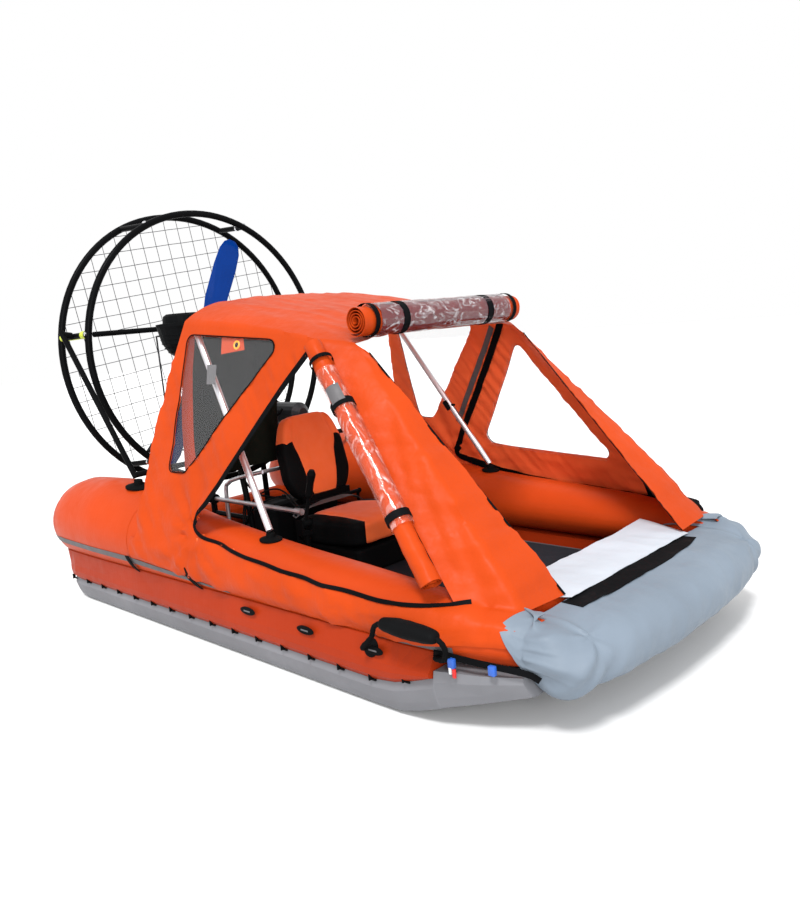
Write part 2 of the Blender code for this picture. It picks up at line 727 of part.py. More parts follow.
def skirt_columns():
    """x of each column of the lower band, the same as the side panels' and the pillar's."""
    columns = [SKIRT_REAR_X] + [side_foot_x(i / COLUMNS) for i in range(COLUMNS + 1)]
    columns += [SIDE_FRONT_FOOT_X + (SKIRT_CROWN_X - SIDE_FRONT_FOOT_X) * i / 3 for i in (1, 2, 3)]
    return columns + [SKIRT_CROWN_X + (SKIRT_FRONT_X - SKIRT_CROWN_X) * i / 3 for i in (1, 2, 3)]


def canopy_skirt(label, side):
    """The lower band round the outside of the tube, down to the hem and forward to the bow cover."""
    rows = 5
    grid = [[] for _ in range(rows + 1)]
    for x in skirt_columns():
        _, z, _, height = tube_ellipse(x, FABRIC_CLEARANCE)
        top = zip_angle(x) - 0.0045
        hem = HEM_Z + 0.050 * max(0.0, (-0.20 - x) / 0.32) + 0.022 * min(max(0.0, (x - 1.10) / 0.15), 1.0)
        low = math.asin((hem - z) / height)
        for j in range(rows + 1):
            clearance = FABRIC_CLEARANCE if j < rows else HEM_CLEARANCE
            grid[j].append(on_tube(x, top + (low - top) * j / rows, clearance))
    grid_sheet(f"canopy_skirt_{label}", grid, "orange_fabric", side, shapes=[ahead_of_bow_plane(0.0015)])


def ahead_of_bow_plane(gap):
    """A block that holds everything ahead of the leaning plane at the bow."""
    block = box((0, -1.2, -1.2), (1.2, 1.2, 1.2))
    block.transform(Matrix.Translation(BOW_PLANE_POINT) @ Matrix.Rotation(-BOW_PLANE_LEAN, 4, "Y"))
    block.transform(Matrix.Translation((-gap, 0, 0)))
    return block


def canopy_pillar(label, side):
    """The broad strip from the roof's front corner down to the bow."""
    columns, rows = 6, 8
    grid = []
    for j in range(rows + 1):
        t = j / rows
        row = []
        for i in range(columns + 1):
            s = i / columns
            if s <= 0.5:
                top = ROOF_CORNER.lerp(ROOF_FRONT, 2 * s)
                x = SIDE_FRONT_FOOT_X + 2 * s * (SKIRT_CROWN_X - SIDE_FRONT_FOOT_X)
                foot = on_tube(x, zip_angle(x) + 0.004, FABRIC_CLEARANCE)
            else:
                top = ROOF_FRONT.lerp(PILLAR_TOP, 2 * s - 1)
                crown = on_tube(SKIRT_CROWN_X, zip_angle(SKIRT_CROWN_X) + 0.004, FABRIC_CLEARANCE)
                foot = crown.lerp(PILLAR_FOOT, 2 * s - 1)
            point = top.lerp(foot, t)
            bulge = PILLAR_BULGE * math.sin(math.pi * s) * math.sin(math.pi * t)
            row.append(point + Vector((0.75, 0.66, 0.0)) * bulge)
        row[0] = row[0] + (row[1] - row[0]).normalized() * PILLAR_SEAM
        grid.append(row)
    grid_sheet(f"canopy_pillar_{label}", grid, "orange_fabric", side)


def canopy_rolls():
    """The windscreen rolled up over the front, and the starboard door rolled beside the pillar."""
    start = FRONT_ROLL_CENTRE + Vector((0, FRONT_ROLL_Y[0], 0))
    profile = ((0, FRONT_ROLL_RADIUS), (FRONT_ROLL_Y[1] - FRONT_ROLL_Y[0], FRONT_ROLL_RADIUS))
    node("windscreen_roll", [turned(start, (0, 1, 0), profile, 20)], "orange_fabric")
    high, low = side_point(0.985, 0.03), side_point(0.985, 0.93)
    out = Vector((0.10, 0.97, 0.20)).normalized() * (DOOR_ROLL_RADIUS - 0.006)
    high, low = mirrored([high + out, low + out], -1)
    node("door_roll", [rod(high, low, DOOR_ROLL_RADIUS, 16)], "orange_fabric")


def pad_on_tube(x, side, radius):
    """A round rubber pad glued to the crown of a tube, and the point at its top."""
    angle = math.radians(90)
    seat, normal = on_tube(x, angle), tube_normal(x, angle)
    seat, normal = mirrored([seat + normal * GAP, normal], side)
    profile = ((0, radius), (0.4 * PAD_HEIGHT, radius), (PAD_HEIGHT, 0.5 * radius))
    return turned(seat, normal, profile, 20), seat + normal * PAD_HEIGHT, normal


def poles():
    """An aluminium pole each side, from a pad on the tube up into the roof's rear corner."""
    for label, side in SIDES:
        pad, top, normal = pad_on_tube(POLE_FOOT_X, side, POLE_PAD_RADIUS)
        head = Vector((POLE_HEAD.x, POLE_HEAD.y * side, POLE_HEAD.z))
        knuckle = turned(top - normal * 0.004, normal, ((0, 0.020), (0.018, 0.018)), 12)
        node(f"pole_pad_{label}", [pad, knuckle], "black_plastic")
        start = top + normal * (0.014 + 2 * GAP)
        along = (head - start).normalized()
        node(f"canopy_pole_{label}", [rod(start + along * 0.0105, head, POLE_RADIUS)], "aluminium")


def seat():
    """A base box, a cushion, and a back that folds forward on its hinge."""
    half = SEAT_HALF_WIDTH
    low = (SEAT_REAR_X + 0.02, 0.03 - half, DECK_Z + GAP)
    high = (SEAT_FRONT_X - 0.03, half - 0.03, SEAT_BASE_TOP)
    base = box(low, high, 0.015)
    brackets = []
    for side in (1, -1):
        outer, inner = side * (SEAT_BAR_HALF + 0.0074), side * (SEAT_BAR_HALF + GAP)
        y_low, y_high = min(outer, inner), max(outer, inner)
        x = SEAT_HINGE.x
        upright = box((x - 0.022, y_low, SEAT_BASE_TOP - 0.050), (x - 0.006, y_high, SEAT_HINGE.z))
        tab = box((x - 0.022, y_low, SEAT_BASE_TOP - 0.050), (x + 0.040, y_high, SEAT_BASE_TOP - 0.006))
        eye = turned((x, y_low, SEAT_HINGE.z), (0, 1, 0), ((0, 0.013), (y_high - y_low, 0.013)), 12)
        brackets += [upright, tab, eye]
    node("seat_base", [base, *brackets], "black_plastic")
    outline = rounded(
        (
            (SEAT_REAR_X, SEAT_BASE_TOP + GAP, 0.020),
            (SEAT_FRONT_X, SEAT_BASE_TOP + GAP, 0.030),
            (SEAT_FRONT_X, CUSHION_TOP + 0.012, 0.045),
            (SEAT_REAR_X, CUSHION_TOP - 0.012, 0.020),
        )
    )
    node("seat_cushion", [prism(outline, -half, half)], "seat_cover")
    up = Vector((-math.sin(BACK_LEAN), 0, math.cos(BACK_LEAN)))
    back = Vector((-math.cos(BACK_LEAN), 0, -math.sin(BACK_LEAN)))
    rings = []
    # Columns of the back: height share, half width, thickness share.
    for share, width, depth in (
        (0.02, 0.165, 0.70),
        (0.08, 0.192, 0.95),
        (0.30, 0.203, 1.00),
        (0.62, 0.196, 1.00),
        (0.80, 0.172, 0.90),
        (0.94, 0.148, 0.75),
        (1.00, 0.124, 0.45),
    ):
        centre = SEAT_HINGE + up * (share * BACK_LENGTH + 0.004) + back * (BACK_THICKNESS / 2 + 0.004)
        reach = BACK_THICKNESS * depth / 2
        corners = rounded(
            (
                (-width, -reach, 0.4 * reach),
                (width, -reach, 0.4 * reach),
                (width, reach, 0.4 * reach),
                (-width, reach, 0.4 * reach),
            ),
            2,
        )
        rings.append([centre + Vector((0, p[0], 0)) + back * p[1] for p in corners])
    bar_start = SEAT_HINGE - Vector((0, SEAT_BAR_HALF, 0))
    bar = turned(bar_start, (0, 1, 0), ((0, 0.010), (2 * SEAT_BAR_HALF, 0.010)), 12)
    strap = box(
        (SEAT_HINGE.x - 0.030, -SEAT_BAR_HALF + 0.060, SEAT_HINGE.z - 0.004),
        (SEAT_HINGE.x - 0.002, SEAT_BAR_HALF - 0.060, SEAT_HINGE.z + 0.040),
    )
    node("seat_back", [loft(rings), bar, strap], "seat_cover", origin=SEAT_HINGE)


def steering():
    """A stand beside the seat, the lever on it, its push rod, and the guide that the rod slides in."""
    pivot = LEVER_PIVOT
    foot = Vector((pivot.x, LEVER_Y, DECK_Z + GAP))
    stand = rod(foot + Vector((0, 0, 0.002)), pivot - Vector((0, 0, 0.040)), 0.013)
    flange = turned(foot, (0, 0, 1), ((0, 0.045), (0.006, 0.045)), 16)
    yoke = box(pivot - Vector((0.018, 0.032, 0.052)), pivot + Vector((0.018, 0.032, -0.032)))
    ears = []
    for side in (1, -1):
        middle = pivot + Vector((0, side * 0.028, 0))
        ears.append(box(middle - Vector((0.0175, 0.004, 0.045)), middle + Vector((0.0175, 0.004, 0.020))))
    node("lever_stand", [stand, flange, yoke, *ears], "black_plastic")
    along = (LEVER_TOP - pivot).normalized()
    half = 0.024 - GAP
    boss = turned(pivot - Vector((0, half, 0)), (0, 1, 0), ((0, 0.018), (2 * half, 0.018)), 16)
    shank = rod(pivot, pivot + along * 0.140, 0.009)
    grip = turned(
        pivot + along * 0.130,
        along,
        ((0, 0.011), (0.012, 0.017), (0.070, 0.016), (0.115, 0.020), (0.134, 0.012)),
        14,
    )
    node("steering_lever", [boss, shank, grip], "black_plastic", origin=pivot)
    start = Vector((ROD_FRONT_X, LEVER_Y, pivot.z + ROD_EYE))
    end = Vector((ROD_REAR_X, LEVER_Y, start.z))
    eye = rod(start, start - Vector((0.050, 0, 0)), ROD_EYE_RADIUS)
    node("push_rod", [rod(start - Vector((0.004, 0, 0)), end, ROD_RADIUS), eye], "aluminium", origin=end)
    length = GUIDE_X[1] - GUIDE_X[0]
    sleeve = turned((GUIDE_X[0], LEVER_Y, end.z), (1, 0, 0), ((0, 0.024), (length, 0.024)), 16)
    bore_start = Vector((GUIDE_X[0] - 0.01, LEVER_Y, end.z))
    bore = turned(bore_start, (1, 0, 0), ((0, GUIDE_BORE), (length + 0.02, GUIDE_BORE)), 16)
    middle = (GUIDE_X[0] + GUIDE_X[1]) / 2
    post = rod((middle, LEVER_Y, DECK_Z + GAP + 0.002), (middle, LEVER_Y, end.z - 0.018), 0.011)
    plate = turned((middle, LEVER_Y, DECK_Z + GAP), (0, 0, 1), ((0, 0.035), (0.006, 0.035)), 16)
    node("rod_guide", [sleeve, post, plate], "black_plastic", cuts=[bore])


def rudder():
    """A post behind the cage and the air rudder that turns on it."""
    top = Vector((RUDDER_POST.x, 0, RUDDER_POST_TOP))
    foot = RUDDER_POST + Vector((0, 0, GAP))
    flange = turned(foot, (0, 0, 1), ((0, 0.040), (0.006, 0.040)), 16)
    collars = []
    for z in (RUDDER_SPAN_Z[0] - GAP - 0.020, RUDDER_SPAN_Z[1] + GAP):
        collars.append(turned((RUDDER_POST.x, 0, z), (0, 0, 1), ((0, 0.021), (0.020, 0.021)), 14))
    drop = Vector((REAR_RING[1] * math.sin(POWER_TILT), 0, -REAR_RING[1]))
    ring_bottom = HUB + Vector((REAR_RING[0], 0, 0)) + drop
    stay_end = Vector((ring_bottom.x - RING_TUBE - 0.0015, 0, ring_bottom.z))
    stay = rod((RUDDER_POST.x + 0.003, 0, stay_end.z), stay_end, 0.010, 10)
    post = rod(foot + Vector((0, 0, 0.002)), top, RUDDER_POST_RADIUS)
    node("rudder_post", [post, flange, stay, *collars], "black_tube")
    low, high = RUDDER_SPAN_Z
    sleeve = rod((RUDDER_POST.x, 0, low), (RUDDER_POST.x, 0, high), 0.021, 16)
    bore = rod((RUDDER_POST.x, 0, low - 0.02), (RUDDER_POST.x, 0, high + 0.02), RUDDER_POST_RADIUS + 0.003, 16)
    half = RUDDER_THICKNESS / 2
    outline = [
        Vector((RUDDER_POST.x - 0.010, half)),
        Vector((RUDDER_POST.x - 0.080, half)),
        Vector((RUDDER_POST.x - RUDDER_CHORD, 0.002)),
        Vector((RUDDER_POST.x - RUDDER_CHORD, -0.002)),
        Vector((RUDDER_POST.x - 0.080, -half)),
        Vector((RUDDER_POST.x - 0.010, -half)),
    ]
    blade = prism(outline, low + 0.004, high - 0.004, "z")
    node("air_rudder", [sleeve, blade], "black_plastic", origin=RUDDER_POST + Vector((0, 0, 0.5)), cuts=[bore])


def cage(power):
    """Two rings with spacers between them, and the net on the rear one."""
    forward = Vector((1, 0, 0))
    front_ring = ring_tube((FRONT_RING[0], 0, 0), forward, FRONT_RING[1], RING_TUBE)
    node("cage_front_ring", [front_ring], "black_tube", parent=power)
    pieces = [ring_tube((REAR_RING[0], 0, 0), forward, REAR_RING[1], RING_TUBE)]
    for angle in SPACER_ANGLES:
        out = Vector((0, math.cos(math.radians(angle)), math.sin(math.radians(angle))))
        rear = Vector((REAR_RING[0], 0, 0)) + out * REAR_RING[1]
        front = Vector((FRONT_RING[0], 0, 0)) + out * FRONT_RING[1]
        along = (front - rear).normalized()
        pieces.append(rod(rear, front - along * (RING_TUBE + 0.0008), SPACER_RADIUS, 8))
    node("cage_rear_ring", pieces, "black_tube", parent=power)
    reach = REAR_RING[1] - RING_TUBE - 0.001
    disc = turned((REAR_RING[0] - 0.02, 0, 0), forward, ((0, reach), (0.04, reach)), 48)
    obj = node("cage_net", [net_grid()], "net", parent=power, smooth=30)
    boolean(obj, disc, "INTERSECT", power)


def net_grid():
    """A square lattice of wires in the rear ring's plane, a little turned."""
    count = int(REAR_RING[1] / NET_PITCH)
    offsets = [(k + 0.5) * NET_PITCH for k in range(-count - 1, count + 1)]
    lines = []
    for offset in offsets:
        lines += [offset - NET_WIRE / 2, offset + NET_WIRE / 2]
    bm = bmesh.new()
    back, front = REAR_RING[0] - NET_WIRE / 2, REAR_RING[0] + NET_WIRE / 2
    turn = Matrix.Rotation(NET_ROLL, 3, "X")
    verts = {}

    def vert(i, j, depth):
        if (i, j, depth) not in verts:
            verts[i, j, depth] = bm.verts.new(turn @ Vector((depth, lines[i], lines[j])))
        return verts[i, j, depth]

    def filled(i, j):
        inside = 0 <= i < len(lines) - 1 and 0 <= j < len(lines) - 1
        return inside and (i % 2 == 0 or j % 2 == 0)

    for i in range(len(lines) - 1):
        for j in range(len(lines) - 1):
            if not filled(i, j):
                continue
            for depth in (back, front):
                bm.faces.new([vert(i + a, j + b, depth) for a, b in ((0, 0), (1, 0), (1, 1), (0, 1))])
            walls = (((i - 1, j), (0, 0), (0, 1)), ((i + 1, j), (1, 0), (1, 1)))
            walls += (((i, j - 1), (0, 0), (1, 0)), ((i, j + 1), (0, 1), (1, 1)))
            for beside, first, second in walls:
                if filled(*beside):
                    continue
                ends = [(i + a, j + b) for a, b in (first, second)]
                low, high = ends
                bm.faces.new([vert(*low, back), vert(*high, back), vert(*high, front), vert(*low, front)])
    return closed(bm)


def propeller(power):
    """A hub with twisted blades."""
    meshes = [turned((-0.030, 0, 0), (1, 0, 0), ((0, 0.030), (0.010, 0.045), (0.060, 0.045)), 20)]
    # Columns of a blade: share of the radius, chord, thickness, pitch angle in degrees.
    stations = (
        (0.04, 0.040, 0.030, 50),
        (0.18, 0.070, 0.022, 40),
        (0.45, 0.126, 0.014, 24),
        (0.75, 0.134, 0.010, 16),
        (0.90, 0.122, 0.008, 13),
        (0.97, 0.088, 0.006, 12),
        (1.00, 0.038, 0.004, 12),
    )
    for k in range(BLADES):
        rings = []
        for share, chord, thick, pitch in stations:
            a = math.radians(pitch)
            ring = []
            for i in range(10):
                t = 2 * math.pi * i / 10
                across, deep = chord / 2 * math.cos(t), thick / 2 * math.sin(t)
                y = across * math.cos(a) - deep * math.sin(a)
                x = across * math.sin(a) + deep * math.cos(a)
                ring.append(Vector((x, y, share * PROPELLER_RADIUS)))
            rings.append(ring)
        mesh = loft(rings)
        mesh.transform(Matrix.Rotation(BLADE_START + 2 * math.pi * k / BLADES, 4, "X"))
        meshes.append(mesh)
    node("propeller", meshes, "blade_blue", parent=power, smooth=50)


def legs(power):
    """A black leg and a brace each side, from a pad on the main tube to the cage and to the engine's frame."""
    for label, side in SIDES:
        pad, top, normal = pad_on_tube(LEG_FOOT_X, side, LEG_PAD_RADIUS)
        knuckle = turned(top - normal * 0.004, normal, ((0, 0.022), (0.026, 0.020)), 12)
        node(f"leg_pad_{label}", [pad, knuckle], "black_plastic")
        start = top + normal * (0.022 + 2 * GAP) + Vector((-0.012, 0, 0))
        out = Vector((0, side * math.cos(math.radians(ARM_ANGLE)), math.sin(math.radians(ARM_ANGLE))))
        middle = Vector(((FRONT_RING[0] + REAR_RING[0]) / 2, 0, 0))
        spacer = middle + out * ((FRONT_RING[1] + REAR_RING[1]) / 2 + SPACER_RADIUS + 0.0022)
        turn = Matrix.Rotation(-POWER_TILT, 3, "Y")
        end = HUB + turn @ (spacer + out * LEG_OUTREACH)
        along = (end - start).normalized()
        leg = rod(start + along * 0.012, end + along * 0.020, ARM_RADIUS)
        clamp = rod(HUB + turn @ spacer, end, ARM_RADIUS + 0.004)
        frame_corner = Vector((ENGINE_X[1] - 0.020, side * 0.222, ENGINE_PLATE_Z - 0.010))
        reach = (frame_corner - start).normalized()
        brace = rod(start + along * 0.024, frame_corner - reach * 0.016, ARM_RADIUS)
        node(f"cage_leg_{label}", [leg, clamp, brace], "black_tube")


def power_unit(power):
    """The bearer frame, the engine on it, and the drive up to the propeller's shaft."""
    rear_x, front_x = ENGINE_X
    plate = box((rear_x, -0.200, ENGINE_PLATE_Z), (front_x, 0.200, ENGINE_PLATE_Z + 0.016))
    members = [plate]
    for side in (1, -1):
        y = side * 0.180
        for head_x, foot_x in ((rear_x + 0.03, rear_x + 0.04), (front_x - 0.03, front_x + 0.06)):
            head, foot = (head_x, y, ENGINE_PLATE_Z + 0.004), (foot_x, y, DECK_Z + GAP + 0.004)
            members.append(rod(head, foot, 0.016, 10))
        members.append(rod((rear_x + 0.03, y, 0.340), (front_x + 0.03, y, 0.340), 0.013, 10))
        for x in (rear_x + 0.04, front_x + 0.06):
            members.append(box((x - 0.035, y - 0.030, DECK_Z + GAP), (x + 0.035, y + 0.030, DECK_Z + 0.008)))
    node("engine_frame", members, "black_tube")
    low_x, high_x, half, top = CRANKCASE
    block_low = ENGINE_PLATE_Z + 0.016 + GAP
    case = box((low_x, -half, block_low), (high_x, half, top), 0.012, 1)
    profile = ((0, 0.090), (0.035, 0.090), (0.045, 0.070))
    start_cup = turned((high_x - 0.005, 0, CRANK_Z), (1, 0, 0), profile, 20)
    node("engine_block", [case, start_cup], "engine_metal")
    middle = Vector(((low_x + high_x) / 2, 0.0, top + GAP))
    fins = [(0, 0.062)]
    for k in range(6):
        z = 0.014 + 0.024 * k
        fins += [(z, 0.062), (z + 0.0005, 0.088), (z + 0.009, 0.088), (z + 0.0095, 0.062)]
    fins += [(0.175, 0.062), (0.180, 0.030), (0.205, 0.028)]
    node("engine_cylinder", [turned(middle, (0, 0, 1), fins, 16)], "engine_metal")
    drive_x = (low_x - 0.052, low_x - GAP)
    outline = []
    shaft_z = HUB.z + (drive_x[0] - HUB.x) * math.tan(POWER_TILT)
    for z, radius, start, end in ((CRANK_Z, 0.060, 180, 360), (shaft_z, 0.085, 0, 180)):
        for k in range(9):
            a = math.radians(start + (end - start) * k / 8)
            outline.append(Vector((radius * math.cos(a), z + radius * math.sin(a))))
    housing = prism(outline, *drive_x, "x")
    shaft_end = Vector((0.030 + GAP, 0, 0))
    local = Matrix.Translation(HUB) @ Matrix.Rotation(-POWER_TILT, 4, "Y")
    shaft = rod(local @ shaft_end, local @ Vector((0.175, 0, 0)), 0.020, 14)
    carrier = [rod(local @ Vector((0.135, 0, 0)), local @ Vector((0.175, 0, 0)), 0.050, 16)]
    reach = FRONT_RING[1] - RING_TUBE - 0.001
    arm_z = reach * math.sin(math.radians(ARM_ANGLE))
    carrier.append(rod(local @ Vector((0.155, 0, 0)), local @ Vector((0.155, 0, arm_z)), 0.024, 12))
    for angle in (ARM_ANGLE, 180 - ARM_ANGLE, 225, 315):
        out = Vector((0, math.cos(math.radians(angle)), math.sin(math.radians(angle))))
        ring_point = Vector((FRONT_RING[0] + 0.010, 0, 0)) + out * reach
        if angle < 180:
            ring_point.y -= math.copysign(ARM_SLANT, ring_point.y)
        root = Vector((0.155, 0, arm_z if angle < 180 else 0))
        carrier.append(rod(local @ root, local @ ring_point, ARM_RADIUS, 10))
    node("cage_arms", [shaft, *carrier, housing], "black_tube")
    bowl = ((0, 0.045), (0.030, 0.085), (0.080, 0.115), (0.150, 0.130), (0.165, 0.135), (0.178, 0.135))
    cap = ((0.182, 0.100), (0.215, 0.095), (0.226, 0.078))
    box_shell = turned((-0.893, -0.298, 1.198), (0, 0, 1), bowl + cap, 24)
    intake = rod((-0.893, -0.285, 1.225), (-0.880, -0.115, 0.950), 0.020)
    carburettor = box((-0.905, -0.129, top + GAP), (-0.850, -0.093, top + 0.055))
    node("air_box", [box_shell, intake, carburettor], "black_plastic")
    profile = ((0, 0.030), (0.030, 0.062), (0.330, 0.062), (0.360, 0.030))
    silencer = turned((-1.020, 0.235, 0.835), (1, 0, 0), profile, 16)
    exhaust = rod((-0.870, 0.240, 0.835), (-0.870, half + GAP, 0.835), 0.020, 10)
    node("silencer", [silencer, exhaust], "engine_metal")
    tank = box(TANK[0], TANK[1], 0.035, 2)
    node("fuel_tank", [tank], "black_plastic")


def main():
    clear_scene()
    power = bpy.data.objects.new("power_unit_frame", None)
    bpy.context.scene.collection.objects.link(power)
    power.location = HUB
    power.rotation_euler = (0, -POWER_TILT, 0)
    hull()
    handles()
    canopy()
    poles()
    seat()
    steering()
    rudder()
    cage(power)
    propeller(power)
    legs(power)
    power_unit(power)


main()
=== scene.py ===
"""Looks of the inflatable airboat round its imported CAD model: fabric, film, webbing, rope and fittings.

Metres, +X to the bow, +Y to port, +Z up. The camera is the one solved from the photograph.
"""

import json
import math

import bmesh
import bpy
from mathutils import Matrix, Vector, noise
from mathutils.bvhtree import BVHTree


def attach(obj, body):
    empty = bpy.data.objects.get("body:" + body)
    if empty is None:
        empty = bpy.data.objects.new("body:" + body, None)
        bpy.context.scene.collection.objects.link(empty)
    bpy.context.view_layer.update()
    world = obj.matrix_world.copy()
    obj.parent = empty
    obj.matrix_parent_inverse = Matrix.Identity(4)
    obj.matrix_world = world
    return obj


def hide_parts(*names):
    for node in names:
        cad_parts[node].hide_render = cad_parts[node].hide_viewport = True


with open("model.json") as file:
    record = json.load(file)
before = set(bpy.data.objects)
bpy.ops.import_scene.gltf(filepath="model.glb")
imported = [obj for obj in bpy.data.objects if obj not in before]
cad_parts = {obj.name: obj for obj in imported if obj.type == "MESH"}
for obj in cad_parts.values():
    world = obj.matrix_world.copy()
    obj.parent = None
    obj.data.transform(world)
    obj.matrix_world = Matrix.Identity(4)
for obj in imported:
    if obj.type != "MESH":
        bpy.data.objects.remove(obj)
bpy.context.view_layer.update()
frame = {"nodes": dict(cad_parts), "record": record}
SIDES = (("port", 1), ("starboard", -1))
FORWARD = Vector((1, 0, 0))
TO_PORT = Vector((0, 1, 0))
UP = Vector((0, 0, 1))

# Hull, the same numbers as the CAD model's
SIDE_FRONT_FOOT_X = 1.220
TUBE_BOTTOM = 0.206
# Columns of a main tube: x, centre y, lowest z, highest z, half width.
TUBE_STATIONS = (
    (-1.535, 0.700, 0.345, 0.400, 0.030),
    (-1.525, 0.703, 0.300, 0.440, 0.080),
    (-1.490, 0.710, 0.250, 0.512, 0.140),
    (-1.430, 0.716, 0.220, 0.566, 0.178),
    (-1.350, 0.720, TUBE_BOTTOM, 0.604, 0.200),
    (-1.250, 0.720, TUBE_BOTTOM, 0.628, 0.211),
    (-0.970, 0.720, TUBE_BOTTOM, 0.640, 0.215),
    (-0.700, 0.720, TUBE_BOTTOM, 0.600, 0.200),
    (-0.240, 0.720, TUBE_BOTTOM, 0.525, 0.175),
    (0.140, 0.720, TUBE_BOTTOM, 0.485, 0.158),
    (0.430, 0.720, TUBE_BOTTOM, 0.462, 0.150),
    (0.700, 0.720, TUBE_BOTTOM, 0.446, 0.143),
    (1.040, 0.720, TUBE_BOTTOM, 0.420, 0.136),
    (SIDE_FRONT_FOOT_X, 0.704, TUBE_BOTTOM, 0.396, 0.127),
    (1.337, 0.670, TUBE_BOTTOM, 0.373, 0.114),
    (1.410, 0.645, TUBE_BOTTOM, 0.358, 0.106),
    (1.520, 0.610, TUBE_BOTTOM, 0.342, 0.100),
)
# Columns of the bow cover, from the middle out: y, foremost x, lowest z, highest z.
COVER_STATIONS = (
    (0.000, 1.690, 0.118, 0.358),
    (0.160, 1.688, 0.118, 0.358),
    (0.300, 1.682, 0.118, 0.357),
    (0.480, 1.662, 0.119, 0.354),
    (0.590, 1.628, 0.123, 0.347),
    (0.665, 1.582, 0.135, 0.335),
    (0.718, 1.532, 0.160, 0.314),
    (0.752, 1.480, 0.200, 0.288),
)
COVER_DEPTH = 0.240
COVER_ROUNDNESS = 0.80
BOW_PLANE_POINT = Vector((1.410, 0.0, 0.360))
BOW_PLANE_LEAN = math.radians(13.0)
BOW_NORMAL = Vector((math.cos(BOW_PLANE_LEAN), 0, math.sin(BOW_PLANE_LEAN)))
FLAP_FRONT_X = 1.430
FLAP_BACK_X = 1.160
FLAP_FRONT_HALF = 0.430
FLAP_BACK_HALF = 0.545
FLAP_Z = 0.3600
# Each patch of a carry handle: its middle, and the angle up that it faces.
HANDLE_PATCHES = (
    ((0.915, 0.8623, 0.2291), math.radians(17.6)),
    ((1.210, 0.8302, 0.2534), math.radians(-40.0)),
)
# Places of the oval patches on the skirt: x, z.
OVALS = ((0.235, 0.232), (0.585, 0.226), (0.938, 0.230))
# Columns of the grey strips on a main tube: x, z, width.
REAR_STRIP = (
    (-1.46, 0.335, 0.016),
    (-1.30, 0.336, 0.034),
    (-0.66, 0.326, 0.034),
    (-0.22, 0.300, 0.024),
    (0.10, 0.278, 0.006),
)
FRONT_STRIP = ((0.90, 0.272, 0.006), (1.00, 0.276, 0.018), (1.24, 0.276, 0.022))
# The first lacing hook's x, and their spacing and number on a side
HOOKS = (-1.333, 0.160, 16)
# x of the two seams that run round a main tube
SEAM_PLACES = (-1.37, -0.62)

# Canopy, the same numbers as the CAD model's
FABRIC_CLEARANCE = 0.010
HEM_CLEARANCE = 0.0071
# Columns of the hem: x, z.
HEM_LINE = ((-0.560, 0.352), (-0.220, 0.318), (0.100, 0.290), (0.450, 0.276), (1.100, 0.275), (1.250, 0.297))
ROOF_REAR = Vector((-0.340, 0.630, 1.372))
ROOF_CORNER = Vector((0.470, 0.572, 1.252))
ROOF_FRONT = Vector((0.590, 0.500, 1.226))
ROOF_HUMP = 0.018
SHOULDER_REAR = 0.068
SHOULDER_FRONT = 0.006
SHOULDER_POWER = 6
ROOF_CROWN = 0.0205
SIDE_REAR_FOOT_X = -0.520
REAR_EDGE_BOW = 0.040
SKIRT_REAR_X = -0.560
SKIRT_CROWN_X = 1.395
SKIRT_FRONT_X = 1.462
PILLAR_TOP = Vector((0.650, 0.490, 1.190))
PILLAR_FOOT = Vector((1.404, 0.430, 0.3665))
PILLAR_BULGE = 0.014
# Columns of the line where the side panels land on the tube: x, degrees up from the tube's outer side.
ZIP_LINE = (
    (SIDE_REAR_FOOT_X, 11),
    (0.100, 20),
    (0.400, 38),
    (0.900, 38),
    (1.040, 44),
    (1.180, 60),
    (1.250, 78),
    (SKIRT_CROWN_X, 88),
)
# Corners of the windows: x, z, radius.
REAR_WINDOW = ((-0.302, 1.311, 0.030), (0.284, 1.258, 0.030), (-0.215, 0.740, 0.030), (-0.323, 0.740, 0.020))
DOOR_WINDOW = ((0.520, 1.150, 0.030), (0.120, 0.610, 0.040), (0.920, 0.560, 0.030))
# Corners in x and z of the line that the door's zip follows, from the roof down and forward.
ZIP_CURVE = (
    (0.462, 1.243),
    (0.200, 0.925),
    (0.000, 0.680),
    (-0.082, 0.580),
    (-0.104, 0.540),
    (-0.085, 0.510),
    (0.030, 0.484),
    (0.154, 0.462),
    (0.398, 0.426),
    (0.657, 0.406),
    (0.859, 0.393),
    (1.032, 0.395),
    (1.176, 0.400),
    (1.253, 0.407),
)
OPENING_CORNERS = 9
FRONT_ROLL_CENTRE = Vector((0.612, 0.0, 1.3085))
FRONT_ROLL_Y = (-0.512, 0.458)
FRONT_ROLL_RADIUS = 0.0595
DOOR_ROLL_RADIUS = 0.0410
# How far the door's roll stands out from the pillar, and the shares of the side that it runs between
DOOR_ROLL_AWAY = Vector((0.10, 0.97, 0.20)).normalized() * 0.036
DOOR_ROLL_COLUMN = 0.985
DOOR_ROLL_ENDS = (0.03, 0.93)
# Straps round the two rolls: the first by y and width, the second by share along and width.
FRONT_ROLL_STRAPS = ((-0.448, 0.022), (-0.290, 0.034), (0.235, 0.038), (0.405, 0.022))
DOOR_ROLL_STRAPS = ((0.075, 0.016), (0.275, 0.028), (0.740, 0.028))

# Seat and power unit, the same numbers as the CAD model's
SEAT_HINGE = Vector((-0.240, 0.0, 0.4450))
BACK_LENGTH = 0.440
BACK_LEAN = math.radians(12.0)
BACK_THICKNESS = 0.095
HUB = Vector((-1.210, 0.0, 1.227))
POWER_TILT = math.radians(2.47)
POWER = Matrix.Translation(HUB) @ Matrix.Rotation(-POWER_TILT, 4, "Y")
# Each ring's place along the shaft and its radius.
FRONT_RING = (0.129, 0.725)
REAR_RING = (-0.120, 0.750)
RING_TUBE = 0.0175
